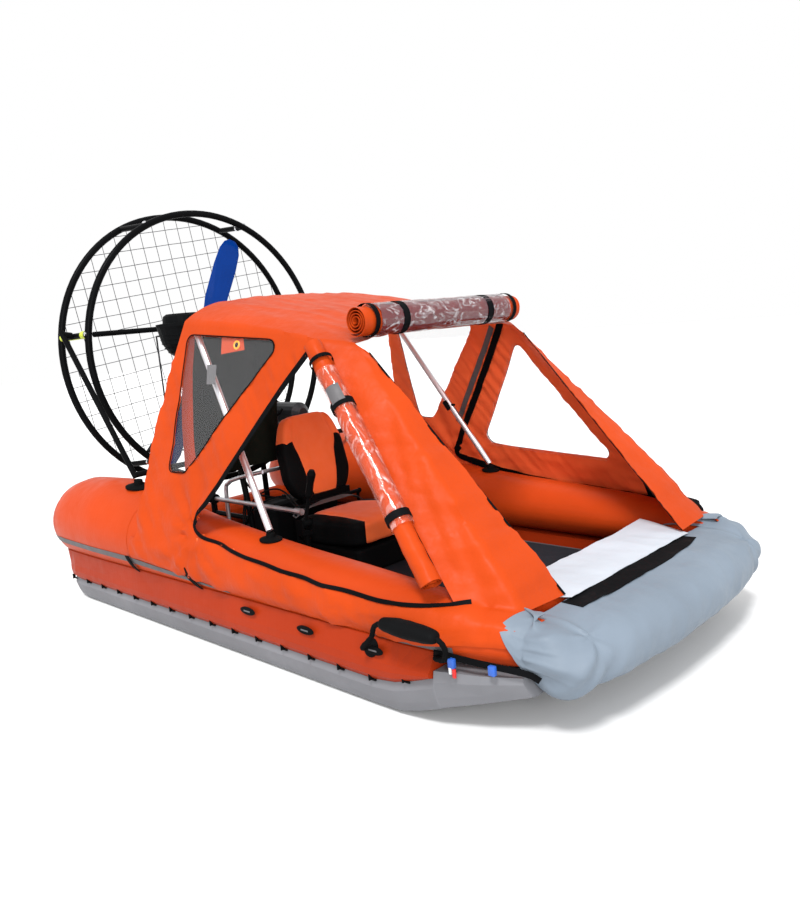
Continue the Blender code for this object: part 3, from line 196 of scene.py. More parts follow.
# Angles round the shaft of the spacers between the rings. One is taped, and one has no clamp.
SPACERS = (10, 65, 115, 170, 230, 310)
TAPED_SPACER = 170
BARE_SPACER = 115
# The net's cords each way, their spacing and their radius
NET_CORDS = 18
NET_PITCH = 0.080
NET_CORD_RADIUS = 0.0018

# Thicknesses of sheets, and a film's overlap and its share for the seams
CLOTH = 0.0016
FILM = 0.0006
FILM_HEM = 0.012
# Points along and across the canopy's sheets
COLUMNS = 84
ROWS = 48
CORNER_COLUMNS = 8
BAND_ROWS = 12
ROOF_ROWS = 72
# Turns of a rolled sheet, and the points of each turn
ROLL_TURNS = 4
SPIRAL_STEPS = 26

# Finishes. Columns: colour, roughness, metallic, specular level, size and depth of the soft ripple in metres,
# threads to the metre of the weave, share by which the colour wanders.
FINISHES = {
    "orange_hull": ((0.43, 0.044, 0.006), 0.40, 0.0, 0.08, 0.10, 0.0020, 260, 0.07),
    "grey_hull": ((0.165, 0.167, 0.180), 0.48, 0.0, 0.08, 0.10, 0.0015, 260, 0.10),
    "deck": ((0.022, 0.023, 0.028), 0.72, 0.0, 0.02, 0.03, 0.0008, 190, 0.20),
    "cover_fabric": ((0.155, 0.190, 0.232), 0.50, 0.0, 0.20, 0.07, 0.0040, 240, 0.07),
    "flap_fabric": ((0.46, 0.495, 0.545), 0.52, 0.0, 0.20, 0.06, 0.0015, 240, 0.06),
    # painted shade: the hull's orange darkened for the side skirts, which lie in the tubes' shadow
    "orange_skirt_painted_shade": ((0.29, 0.025, 0.004), 0.42, 0.0, 0.08, 0.10, 0.0020, 260, 0.07),
    "orange_fabric": ((0.42, 0.044, 0.005), 0.44, 0.0, 0.08, 0.06, 0.0040, 280, 0.08),
    # painted light: the canopy's inner faces, the same orange fabric brightened to stand in for light shining
    # through it
    "orange_lining_painted_glow": ((0.97, 0.150, 0.045), 0.60, 0.0, 0.08, 0.06, 0.0030, 280, 0.05),
    "black_tube": ((0.0040, 0.0042, 0.0046), 0.30, 0.0, 0.02, 0.03, 0.0002, 0, 0.20),
    "black_plastic": ((0.0045, 0.0048, 0.0052), 0.45, 0.0, 0.02, 0.02, 0.0004, 0, 0.20),
    "black_rubber": ((0.0045, 0.0047, 0.0050), 0.62, 0.0, 0.02, 0.02, 0.0006, 0, 0.20),
    "black_rope": ((0.0045, 0.0047, 0.0050), 0.70, 0.0, 0.02, 0.01, 0.0010, 400, 0.25),
    "black_webbing": ((0.0040, 0.0042, 0.0048), 0.60, 0.0, 0.02, 0.01, 0.0006, 520, 0.25),
    "grey_webbing": ((0.080, 0.076, 0.080), 0.60, 0.0, 0.50, 0.01, 0.0006, 520, 0.15),
    "aluminium": ((0.72, 0.72, 0.75), 0.42, 1.0, 0.50, 0.02, 0.0001, 0, 0.06),
    "engine_metal": ((0.028, 0.028, 0.031), 0.42, 0.7, 0.50, 0.006, 0.0008, 0, 0.25),
    "blade_blue": ((0.001, 0.026, 0.170), 0.16, 0.0, 0.08, 0.05, 0.0002, 0, 0.10),
    "seat_orange": ((0.97, 0.155, 0.032), 0.80, 0.0, 0.50, 0.05, 0.0015, 330, 0.12),
    "seat_black": ((0.0050, 0.0052, 0.0056), 0.50, 0.0, 0.02, 0.04, 0.0012, 280, 0.20),
    "net": ((0.07, 0.07, 0.075), 0.55, 0.0, 0.02, 0.01, 0.0003, 0, 0.10),
    "yellow_tape": ((0.50, 0.58, 0.05), 0.35, 0.0, 0.50, 0.01, 0.0003, 0, 0.08),
    "bright_metal": ((0.75, 0.75, 0.77), 0.18, 1.0, 0.50, 0.01, 0.0001, 0, 0.04),
    "clear_film": ((0.80, 0.82, 0.84), 0.10, 0.0, 0.50, 0.06, 0.0030, 0, 0.03),
    # painted shade: the dark sheet behind the starboard rear window stands in for the shade seen through it
    "painted_shade_dark": ((0.007, 0.008, 0.006), 0.70, 0.0, 0.02, 0.03, 0.0030, 300, 0.70),
    "ring_yellow": ((0.90, 0.36, 0.03), 0.35, 0.0, 0.50, 0.01, 0.0003, 0, 0.08),
    "zip_red": ((0.60, 0.015, 0.012), 0.45, 0.0, 0.50, 0.01, 0.0003, 0, 0.10),
    "clip_blue": ((0.02, 0.10, 0.45), 0.40, 0.0, 0.50, 0.01, 0.0003, 0, 0.10),
    "clip_white": ((0.75, 0.76, 0.78), 0.40, 0.0, 0.50, 0.01, 0.0003, 0, 0.05),
}
# What some finishes set besides the columns
EXTRAS = {
    "seat_orange": {"Sheen Weight": 0.12, "Sheen Roughness": 0.35},
    "blade_blue": {"Coat Weight": 0.05, "Coat Roughness": 0.10},
}
CLEAR_EXTRAS = {"Coat Weight": 1.0, "Coat Roughness": 0.04}
FILM_ALPHA = 0.03
# Scale and detail of the noise behind a finish's colour and its wear, and the part of its range in use
MOTTLE = {"Scale": 3.1, "Detail": 5.0}
WEAR = {"Scale": 21.0, "Detail": 4.0}
NOISE_LOW = 0.30
NOISE_HIGH = 0.70
WEAR_SHARE = 0.15
RIPPLE_DETAIL = 3.0
RIPPLE_STRENGTH = 0.9
# A weave's threads to one unit of the wave's scale, its distortion and its relief
THREADS_TO_WAVES = 20.0
THREAD_DISTORTION = 0.6
THREAD = {"Distance": 0.0002, "Strength": 0.35}
# The noise behind a rolled film's painted highlights: white streaks painted into its colour and alpha
PAINTED_HIGHLIGHT_NOISE = {"Detail": 2.0, "Roughness": 0.55, "Distortion": 1.6}
WHITE = (1, 1, 1, 1)


# Materials
def shader_node(tree, kind, feeds, values):
    """A new node of a shader tree, with what is linked to its sockets and what they are set to."""
    made = tree.nodes.new(f"ShaderNode{kind}")
    for socket, source in feeds.items():
        tree.links.new(source, made.inputs[socket])
    for socket, value in values.items():
        made.inputs[socket].default_value = value
    return made


def ramp_of(tree, source, stops):
    """The colour output of a ramp between two stops of place and colour."""
    ramp = shader_node(tree, "ValToRGB", {"Fac": source}, {})
    for element, (place, colour) in zip(ramp.color_ramp.elements, stops):
        element.position = place
        element.color = colour
    return ramp.outputs["Color"]


def new_material(name):
    made = bpy.data.materials.new(name)
    made.use_nodes = True
    return made, made.node_tree, made.node_tree.nodes["Principled BSDF"]


def look(name, alpha=None):
    """The named finish: a base colour that wanders, a roughness that varies, a soft ripple and a weave."""
    label = f"{name}_look" if alpha is None else f"{name}_look_{round(100 * alpha)}"
    if label in bpy.data.materials:
        return bpy.data.materials[label]
    colour, roughness, metallic, specular, size, depth, threads, spread = FINISHES[name]
    made, tree, shader = new_material(label)
    place = {"Vector": tree.nodes.new("ShaderNodeTexCoord").outputs["Object"]}
    mottle = shader_node(tree, "TexNoise", place, MOTTLE)
    dark, light = ((*[min(c * (1 + turn * spread), 1) for c in colour], 1) for turn in (-1, 1))
    base = ramp_of(tree, mottle.outputs["Fac"], ((NOISE_LOW, dark), (NOISE_HIGH, light)))
    worn = shader_node(tree, "TexNoise", place, WEAR)
    limits = {
        "From Min": NOISE_LOW,
        "From Max": NOISE_HIGH,
        "To Min": roughness * (1 - WEAR_SHARE),
        "To Max": min(roughness * (1 + WEAR_SHARE), 1.0),
    }
    wear = shader_node(tree, "MapRange", {"Value": worn.outputs["Fac"]}, limits).outputs["Result"]
    ripple = shader_node(tree, "TexNoise", place, {"Scale": 1 / size, "Detail": RIPPLE_DETAIL})
    relief = {"Distance": depth, "Strength": RIPPLE_STRENGTH}
    surface = shader_node(tree, "Bump", {"Height": ripple.outputs["Fac"]}, relief).outputs["Normal"]
    waves = {"Scale": threads / THREADS_TO_WAVES, "Distortion": THREAD_DISTORTION}
    for direction in ("X", "Z") if threads else ():
        weave = shader_node(tree, "TexWave", place, waves)
        weave.bands_direction = direction
        feeds = {"Height": weave.outputs["Fac"], "Normal": surface}
        surface = shader_node(tree, "Bump", feeds, THREAD).outputs["Normal"]
    for socket, source in (("Base Color", base), ("Roughness", wear), ("Normal", surface)):
        tree.links.new(source, shader.inputs[socket])
    values = {"Metallic": metallic, "Specular IOR Level": specular, **EXTRAS.get(name, {})}
    if alpha is not None:
        values.update(CLEAR_EXTRAS, Alpha=alpha)
    for socket, value in values.items():
        shader.inputs[socket].default_value = value
    return made


def film_with_painted_highlights(name, body, hides, start, size, stretch):
    """Film rolled up over the orange cloth: a thin tinted layer with white highlights painted where its noise
    runs high.

    body and hides are the layer's colour and share, start is where in the noise's range the painted
    highlights begin.
    """
    made = look("clear_film", 0.5).copy()
    made.name = name
    tree = made.node_tree
    place = tree.nodes.new("ShaderNodeTexCoord").outputs["Object"]
    shape = shader_node(tree, "Mapping", {"Vector": place}, {"Scale": stretch})
    bend = shader_node(tree, "TexNoise", {"Vector": shape.outputs["Vector"]}, {"Scale": size, **PAINTED_HIGHLIGHT_NOISE})
    # Painted highlights: the ramps turn the colour and the alpha white where the noise runs high.
    for socket, plain in (("Alpha", (hides, hides, hides, 1)), ("Base Color", body)):
        colour = ramp_of(tree, bend.outputs["Fac"], ((start, plain), (1.0, WHITE)))
        tree.links.new(colour, tree.nodes["Principled BSDF"].inputs[socket])
    return made


# Shapes
def mesh_of(bm, outward=True):
    if outward:
        bmesh.ops.recalc_face_normals(bm, faces=bm.faces[:])
    mesh = bpy.data.meshes.new("shape")
    bm.to_mesh(mesh)
    bm.free()
    return mesh


def filled(meshes):
    bm = bmesh.new()
    for mesh in meshes:
        bm.from_mesh(mesh)
    return bm


def basis(direction):
    """Two unit vectors square to a direction."""
    along = Vector(direction).normalized()
    helper = UP if abs(along.z) < 0.9 else FORWARD
    first = along.cross(helper).normalized()
    return first, along.cross(first).normalized()


def spoke(first, second, angle):
    return math.cos(angle) * first + math.sin(angle) * second


def ring_at(middle, first, second, radius, sides):
    """Points round a middle in the plane of two vectors."""
    return [middle + radius * spoke(first, second, 2 * math.pi * i / sides) for i in range(sides)]


def loft(rings, caps=True, around=False):
    """A skin over rings of equal length. around joins the last ring to the first."""
    bm = bmesh.new()
    rows = [[bm.verts.new(p) for p in ring] for ring in rings]
    count = len(rows[0])
    for low, high in zip(rows, rows[1:] + rows[:1] if around else rows[1:]):
        for i in range(count):
            j = (i + 1) % count
            bm.faces.new((low[i], low[j], high[j], high[i]))
    if caps and not around:
        bm.faces.new(rows[0])
        bm.faces.new(rows[-1])
    return mesh_of(bm)


def grid(rows, flip=False):
    """An open sheet over rows of points."""
    bm = bmesh.new()
    verts = [[bm.verts.new(p) for p in row] for row in rows]
    for low, high in zip(verts, verts[1:]):
        for i in range(len(low) - 1):
            corners = (low[i], low[i + 1], high[i + 1], high[i])
            bm.faces.new(corners[::-1] if flip else corners)
    return mesh_of(bm, outward=False)


def surface_of(columns, rows, point, flip=False):
    """An open sheet whose points are a function of the share along a row and the share from row to row."""
    return grid([[point(i / columns, j / rows) for i in range(columns + 1)] for j in range(rows + 1)], flip)


def turned(start, direction, profile, sides=20):
    """A turned solid. profile lists distance along the direction and radius."""
    along = Vector(direction).normalized()
    return loft([ring_at(Vector(start) + along * t, *basis(along), r, sides) for t, r in profile])


def rod(start, end, radius, sides=12):
    along = Vector(end) - Vector(start)
    return turned(start, along, ((0, radius), (along.length, radius)), sides)


def curve_through(points, steps=6):
    """Points of a smooth line through the given ones."""
    points = [Vector(p) for p in points]
    ends = [points[0] * 2 - points[1], *points, points[-1] * 2 - points[-2]]
    line = []
    for a, b, c, d in zip(ends, ends[1:], ends[2:], ends[3:]):
        square, cube = 2 * a - 5 * b + 4 * c - d, 3 * b - a - 3 * c + d
        for t in (k / steps for k in range(steps)):
            line.append(0.5 * (2 * b + (c - a) * t + square * t**2 + cube * t**3))
    return line + [points[-1]]


def along_line(corners, step=0.02, closed=False):
    """Evenly spaced points of a line through corners, straight between them."""
    points = [Vector(c) for c in corners]
    if closed:
        points.append(points[0])
    line = []
    for a, b in zip(points, points[1:]):
        count = max(1, round((b - a).length / step))
        line += [a.lerp(b, k / count) for k in range(count)]
    return line + [points[-1]]


def headings(points):
    """What leads from the point before to the point after, at each point of a line."""
    return [b - a for a, b in zip(points[:1] + points, points[1:] + points[-1:])]


def at_each(value, count):
    return value if isinstance(value, (list, tuple)) else [value] * count


def pipe(points, radius, sides=10):
    """A tube along points. radius is one number or one for each point."""
    points = [Vector(p) for p in points]
    tangents = [way.normalized() for way in headings(points)]
    side = basis(tangents[0])[0]
    rings = []
    for point, tangent, reach in zip(points, tangents, at_each(radius, len(points))):
        side = (side - tangent * side.dot(tangent)).normalized()
        rings.append(ring_at(point, side, tangent.cross(side), reach, sides))
    return loft(rings)


def hose(points, radius, sides, steps=10):
    return pipe(curve_through(points, steps), radius, sides)


def ring_tube(centre, direction, radius, tube, steps=96, sides=14):
    """A tube bent to a circle."""
    along = Vector(direction).normalized()
    spokes = ring_at(Vector(), *basis(direction), 1.0, steps)
    rings = [ring_at(Vector(centre) + radius * out, out, along, tube, sides) for out in spokes]
    return loft(rings, around=True)


def box(one, other, bevel=0.0):
    """A block between two opposite corners."""
    low, high = ([choose(a, b) for a, b in zip(one, other)] for choose in (min, max))
    bm = bmesh.new()
    bmesh.ops.create_cube(bm, size=1.0)
    for vert in bm.verts:
        vert.co = Vector([low[i] + (vert.co[i] + 0.5) * (high[i] - low[i]) for i in range(3)])
    if bevel:
        bmesh.ops.bevel(bm, geom=bm.edges[:], offset=bevel, segments=2, affect="EDGES", profile=0.5)
    return mesh_of(bm)


def ribbon(points, normals, width, thickness=CLOTH, lift=0.0004):
    """A flat strap along points. width is one number or one for each point."""
    rings = []
    for point, normal, way, wide in zip(points, normals, headings(points), at_each(width, len(points))):
        out = way.cross(normal).normalized() * (wide / 2)
        low, high = point + normal * lift, point + normal * (lift + thickness)
        rings.append([low - out, low + out, high + out, high - out])
    return loft(rings)


def band_round(start, along, radius, width, thickness=CLOTH, sides=28):
    """A strap round a roll, from a point on its axis."""
    profile = ((0, radius), (0, radius + thickness), (width, radius + thickness), (width, radius))
    rings = [ring_at(start + along * t, *basis(along), r, sides) for t, r in profile]
    return loft(rings, caps=False, around=True)


def rounded(corners, steps=6):
    """An outline from corners given as two coordinates and a radius."""
    outline = []
    for i, (a, b, radius) in enumerate(corners):
        here = Vector((a, b))
        before = Vector(corners[i - 1][:2]) - here
        after = Vector(corners[(i + 1) % len(corners)][:2]) - here
        half = before.angle(after) / 2
        ways = [way.normalized() for way in (before, after)]
        middle = here + (ways[0] + ways[1]).normalized() * radius / math.sin(half)
        start, end = (here + way * radius / math.tan(half) - middle for way in ways)
        outline += [middle + start.lerp(end, k / steps).normalized() * radius for k in range(steps + 1)]
    return outline


def outline_edges(outline):
    return zip(outline, outline[1:] + outline[:1])


def outline_area(outline):
    """The area inside an outline, below zero if it runs clockwise."""
    return sum(a.x * b.y - b.x * a.y for a, b in outline_edges(outline)) / 2


def holds(outline, x, z):
    """Whether a point lies inside an outline in x and z."""
    inside = False
    for a, b in outline_edges(outline):
        if (a[1] > z) != (b[1] > z) and x < a[0] + (z - a[1]) / (b[1] - a[1]) * (b[0] - a[0]):
            inside = not inside
    return inside


def trimmed(mesh, outlines, margin=0.03):
    """Takes what lies inside the outlines in x and z out of an open sheet, with clean edges."""
    bm = filled([mesh])
    for a, b in (edge for outline in outlines for edge in outline_edges(outline)):
        normal = Vector((a[1] - b[1], 0, b[0] - a[0]))
        if normal.length < 1e-6:
            continue
        near = []
        for face in bm.faces:
            centre = face.calc_center_median()
            if min(a[0], b[0]) - margin < centre.x < max(a[0], b[0]) + margin:
                if min(a[1], b[1]) - margin < centre.z < max(a[1], b[1]) + margin:
                    near.append(face)
        edges = {edge for face in near for edge in face.edges}
        verts = {vert for face in near for vert in face.verts}
        start = Vector((a[0], 0, a[1]))
        bmesh.ops.bisect_plane(bm, geom=[*verts, *edges, *near], dist=1e-6, plane_co=start, plane_no=normal)
    gone = []
    for face in bm.faces:
        centre = face.calc_center_median()
        if any(holds(outline, centre.x, centre.z) for outline in outlines):
            gone.append(face)
    bmesh.ops.delete(bm, geom=gone, context="FACES")
    bmesh.ops.dissolve_degenerate(bm, dist=0.0012, edges=bm.edges[:])
    return mesh_of(bm, outward=False)


def inset(outline, distance):
    """A convex outline moved inwards, or outwards if the distance is negative."""
    turn = 1 if outline_area(outline) > 0 else -1
    moved = []
    for before, here, after in zip(outline[-1:] + outline, outline, outline[1:] + outline[:1]):
        normals = [Vector((-e.y, e.x)).normalized() * turn for e in (here - before, after - here)]
        between = (normals[0] + normals[1]).normalized()
        moved.append(here + between * distance / max(between.dot(normals[0]), 0.3))
    return moved


# Objects
def placed(name, data):
    """A new object in the scene."""
    obj = bpy.data.objects.new(name, data)
    bpy.context.scene.collection.objects.link(obj)
    return obj


def piece(name, meshes, finish, body="boat", smooth=40.0, stands_for=()):
    """A shown piece, riding on a body of the CAD model. finish is a finish's name, or a list of them."""
    mesh = meshes if isinstance(meshes, bpy.types.Mesh) else mesh_of(filled(meshes), outward=False)
    finishes = [finish] if isinstance(finish, str) else finish
    obj = placed(name, mesh)
    for item in finishes:
        mesh.materials.append(look(item) if isinstance(item, str) else item)
    mesh.shade_smooth()
    mesh.set_sharp_from_angle(angle=math.radians(smooth))
    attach(obj, body)
    if stands_for:
        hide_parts(*stands_for)
    return obj


def thick_mesh(mesh, thickness, offset=-1.0, keep=None, lining=0):
    """A sheet given a thickness, and trimmed to a closed form if there is one, as a new mesh."""
    obj = placed("sheet_work", mesh)
    solid = obj.modifiers.new("thickness", "SOLIDIFY")
    solid.thickness = thickness
    solid.offset = offset
    solid.material_offset = lining
    used = [obj]
    if keep:
        used.append(placed("trim_work", keep))
        trim = obj.modifiers.new("trim", "BOOLEAN")
        trim.operation = "INTERSECT"
        trim.solver = "EXACT"
        trim.object = used[-1]
    graph = bpy.context.evaluated_depsgraph_get()
    made = bpy.data.meshes.new_from_object(obj.evaluated_get(graph))
    for extra in used:
        bpy.data.objects.remove(extra)
    return made


def half_space(mesh, point, normal, fill=True):
    """Keeps what lies behind the plane."""
    bm = filled([mesh])
    everything = bm.verts[:] + bm.edges[:] + bm.faces[:]
    cut = bmesh.ops.bisect_plane(bm, geom=everything, plane_co=point, plane_no=normal, clear_outer=True)
    if fill:
        rim = [item for item in cut["geom_cut"] if isinstance(item, bmesh.types.BMEdge)]
        bmesh.ops.contextual_create(bm, geom=rim)
    return mesh_of(bm, outward=fill)


# Numbers
def wander(point, size, seed=0.0):
    """Smooth noise from -1 to 1 with features of that size."""
    return noise.noise(Vector(point) / size + Vector((seed, seed * 0.37, -seed)))


def ridged(point, stretch, seed=0.0):
    """Creases: sharp where smooth noise crosses zero. stretch is the feature size along each axis."""
    scaled = Vector([a / b for a, b in zip(point, stretch)])
    return 1.0 - 2.2 * min(abs(noise.noise(scaled + Vector((seed, -seed, seed * 0.5)))), 0.45)


def clamped(value):
    return min(1.0, max(0.0, value))


def hill(value, middle, width):
    """A smooth bump of height 1 round a middle."""
    return math.exp(-(((value - middle) / width) ** 2))


def mix(table, x, column=1):
    """A column of a table at x, straight between its rows."""
    if x <= table[0][0]:
        return table[0][column]
    for low, high in zip(table, table[1:]):
        if x <= high[0]:
            share = (x - low[0]) / (high[0] - low[0])
            return low[column] + share * (high[column] - low[column])
    return table[-1][column]


def mirror(point, side):
    return Vector((point.x, point.y * side, point.z))


# The tube and the canopy's surface, as in the CAD model
def tube_ellipse(x, clearance=0.0):
    """Centre y, centre z, half width and half height of a main tube at x."""
    y, low, high, width = (mix(TUBE_STATIONS, x, column) for column in (1, 2, 3, 4))
    return y, (low + high) / 2, width + clearance, (high - low) / 2 + clearance


def on_tube(x, angle, clearance=0.0):
    """A point on the port tube. Angle 0 faces out and a quarter turn faces up."""
    y, z, width, height = tube_ellipse(x, clearance)
    return Vector((x, y + width * math.cos(angle), z + height * math.sin(angle)))


def tube_normal(x, angle):
    step = 0.01
    along = on_tube(x + step, angle) - on_tube(x - step, angle)
    around = on_tube(x, angle + step) - on_tube(x, angle - step)
    return around.cross(along).normalized()


def tube_angle(x, z, clearance=0.0):
    """The angle at which the tube's outer side passes a height."""
    _, middle, _, height = tube_ellipse(x, clearance)
    return math.asin((z - middle) / height)


def tube_band(stations, side, width, thickness, clearance=0.0):
    """A strap on a main tube along stations of x and angle."""
    points = [mirror(on_tube(x, angle, clearance), side) for x, angle in stations]
    normals = [mirror(tube_normal(x, angle), side) for x, angle in stations]
    return ribbon(points, normals, width, thickness)


def canopy_edge(u):
    """The roof's side edge, from the rear to the pillar's corner."""
    point = ROOF_REAR.lerp(ROOF_CORNER, u)
    point.z += ROOF_HUMP * 4 * u * (1 - u)
    return point


def roof_point(edge, across):
    """A point of the roof, from -1 to 1 across, at the place of a point on its side edge."""
    share = (edge.x - ROOF_REAR.x) / (ROOF_FRONT.x - ROOF_REAR.x)
    shoulder = SHOULDER_REAR + share * (SHOULDER_FRONT - SHOULDER_REAR)
    rise = shoulder * (1 - abs(across) ** SHOULDER_POWER) + ROOF_CROWN * (1 - across**2)
    return Vector((edge.x, edge.y * across, edge.z + rise))


def tangent_angle(x, top):
    """The angle at which fabric pulled down from a point above first touches the tube's side."""
    y, z, width, height = tube_ellipse(x, FABRIC_CLEARANCE)
    p, q = (top.y - y) / width, (top.z - z) / height
    return math.atan2(q, p) - math.acos(1 / math.hypot(p, q))


def side_foot_x(u):
    return SIDE_REAR_FOOT_X + u * (SIDE_FRONT_FOOT_X - SIDE_REAR_FOOT_X)


def zip_angle(x):
    """Where the side panels end on the tube and the lower band starts."""
    u = (x - SIDE_REAR_FOOT_X) / (SIDE_FRONT_FOOT_X - SIDE_REAR_FOOT_X)
    return max(tangent_angle(x, canopy_edge(clamped(u))), math.radians(mix(ZIP_LINE, x)))


def zip_point(x):
    return on_tube(x, zip_angle(x), FABRIC_CLEARANCE)


def side_point(u, v):
    """The canopy's side. u runs from the rear edge to the pillar, v from the roof to the tube."""
    point = canopy_edge(u).lerp(zip_point(side_foot_x(u)), v)
    point.x -= REAR_EDGE_BOW * (1 - u) ** 4 * math.sin(math.pi * v)
    return point


def side_sheet(side):
    return surface_of(COLUMNS, ROWS, lambda u, v: mirror(side_point(u, v), side), side < 0)


def roof_sheet():
    edges = [canopy_edge(i / COLUMNS) for i in range(COLUMNS + 1)]
    edges += [ROOF_CORNER.lerp(ROOF_FRONT, i / CORNER_COLUMNS) for i in range(1, CORNER_COLUMNS + 1)]
    shares = [1 - 2 * i / ROOF_ROWS for i in range(ROOF_ROWS + 1)]
    return grid([[roof_point(edge, math.copysign(abs(t) ** 0.8, t)) for t in shares] for edge in edges])


def band_sheet(side):
    """The lower band round the outside of the tube, down to the hem and forward to the bow cover."""
    xs = [SKIRT_REAR_X, (SKIRT_REAR_X + SIDE_REAR_FOOT_X) / 2]
    xs += [side_foot_x(i / COLUMNS) for i in range(COLUMNS + 1)]
    corner = SKIRT_CROWN_X - SIDE_FRONT_FOOT_X
    xs += [SIDE_FRONT_FOOT_X + corner * i / CORNER_COLUMNS for i in range(1, CORNER_COLUMNS + 1)]
    xs += [SKIRT_CROWN_X + (SKIRT_FRONT_X - SKIRT_CROWN_X) * i / 6 for i in range(1, 7)]
    ends = [(x, zip_angle(x), tube_angle(x, mix(HEM_LINE, x), FABRIC_CLEARANCE)) for x in xs]
    rows = []
    for j in range(BAND_ROWS + 1):
        clearance = FABRIC_CLEARANCE + (HEM_CLEARANCE - FABRIC_CLEARANCE) * max(0, j - BAND_ROWS + 2) / 2
        share = j / BAND_ROWS
        rows.append([mirror(on_tube(x, top + (low - top) * share, clearance), side) for x, top, low in ends])
    return grid(rows, flip=side < 0)


def pillar_sheet(side):
    """The broad strip from the roof's front corner down to the bow."""

    def point(s, t):
        if s <= 0.5:
            top = ROOF_CORNER.lerp(ROOF_FRONT, 2 * s)
            foot = zip_point(SIDE_FRONT_FOOT_X + 2 * s * (SKIRT_CROWN_X - SIDE_FRONT_FOOT_X))
        else:
            top = ROOF_FRONT.lerp(PILLAR_TOP, 2 * s - 1)
            foot = zip_point(SKIRT_CROWN_X).lerp(PILLAR_FOOT, 2 * s - 1)
        bulge = PILLAR_BULGE * math.sin(math.pi * s) * math.sin(math.pi * t)
        return mirror(top.lerp(foot, t) + Vector((0.75, 0.66, 0.0)) * bulge, side)

    return surface_of(2 * CORNER_COLUMNS, ROWS, point, side < 0)


def canopy_surface(openings):
    """Roof, sides, pillars and lower bands as one welded sheet with its creases in it.

    openings lists the outlines cut from the side panels, for each side.
    """
    sheets = [roof_sheet()]
    for label, side in SIDES:
        sheets += [trimmed(side_sheet(side), openings[label]), band_sheet(side), pillar_sheet(side)]
    bm = filled(sheets)
    bmesh.ops.remove_doubles(bm, verts=bm.verts[:], dist=0.0006)
    bm.normal_update()
    moves = {vert: vert.normal * canopy_crease(vert.co) for vert in bm.verts}
    for vert, move in moves.items():
        vert.co += move
    return mesh_of(bm, outward=False)


def canopy_crease(p):
    """How far the canopy's fabric stands off its smooth surface at a point."""
    if p.z > 1.20:
        taut = clamped((0.60 - abs(p.y)) / 0.08)
        return taut * (0.0050 * wander(p, 0.22, 3.0) + 0.0058 * ridged(p, (0.50, 0.10, 1.0), 5.0))
    low = max(0.0, 1.0 - abs(p.z - 0.48) / 0.20)
    fan = Vector((p.x + 0.10, 0.0, p.z - 0.50))
    near = hill(fan.length, 0, 0.32) * min(fan.length / 0.06, 1.0)
    folds = 0.0070 * near * math.sin(11.0 * math.atan2(fan.z, fan.x) + 2.0 * wander(p, 0.2, 1.0))
    soft = 0.0070 * wander(p, 0.16, 7.0 if p.y > 0 else 11.0)
    creases = 0.0090 * (0.5 + low) * ridged((p.x + 0.5 * p.z, p.y, p.z), (0.22, 0.8, 0.07), 2.0)
    pull = 0.0068 * ridged((p.x + 0.70 * p.z, p.y, p.z), (0.055, 0.6, 0.60), 6.0)
    ahead = clamped((p.x - 0.5) / 0.2)
    across = 0.0052 * ridged((p.x - 0.4 * p.z, p.y, p.z), (0.35, 0.6, 0.045), 9.0) * ahead
    return max(folds + soft + creases + pull + across - 0.0050, -0.0095)


def tree_of(mesh):
    points = [v.co.copy() for v in mesh.vertices]
    return BVHTree.FromPolygons(points, [tuple(p.vertices) for p in mesh.polygons])


CANOPY_TREE = tree_of(canopy_surface({"port": (), "starboard": ()}))


def zip_line(last=len(ZIP_CURVE)):
    """Points in x and z of the door's zip."""
    return [(p.x, p.y) for p in curve_through([(x, z, 0.0) for x, z in ZIP_CURVE[:last]], 10)]


def on_side(x, z, side):
    """The canopy's outer surface and its outward direction where a line along y meets it."""
    hit, normal, _, _ = CANOPY_TREE.ray_cast(Vector((x, side * 1.5, z)), Vector((0, -side, 0)))
    if hit is None:
        hit, normal, _, _ = CANOPY_TREE.find_nearest(Vector((x, side * 0.7, z)))
    return hit, -normal if normal.y * side < 0 else normal


def calm(points, normals, passes=3):
    """A line's points and directions with their small jolts taken out; the ends stay."""
    for _ in range(passes):
        inner = range(1, len(points) - 1)
        middles = [(points[k - 1] + 2 * points[k] + points[k + 1]) / 4 for k in inner]
        ways = [(normals[k - 1] + 2 * normals[k] + normals[k + 1]).normalized() for k in inner]
        points = [points[0], *middles, points[-1]]
        normals = [normals[0], *ways, normals[-1]]
    return points, normals


def side_strap(corners, side, width, thickness=CLOTH, closed=False, inside=False):
    """A strap laid on the canopy's side along corners given in x and z, outside it or inside."""
    hits = [on_side(p[0], p[1], side) for p in along_line(corners, closed=closed)]
    points, normals = calm([h[0] for h in hits], [-h[1] if inside else h[1] for h in hits])
    return ribbon(points, normals, width, thickness, 0.0048 if inside else 0.0022)


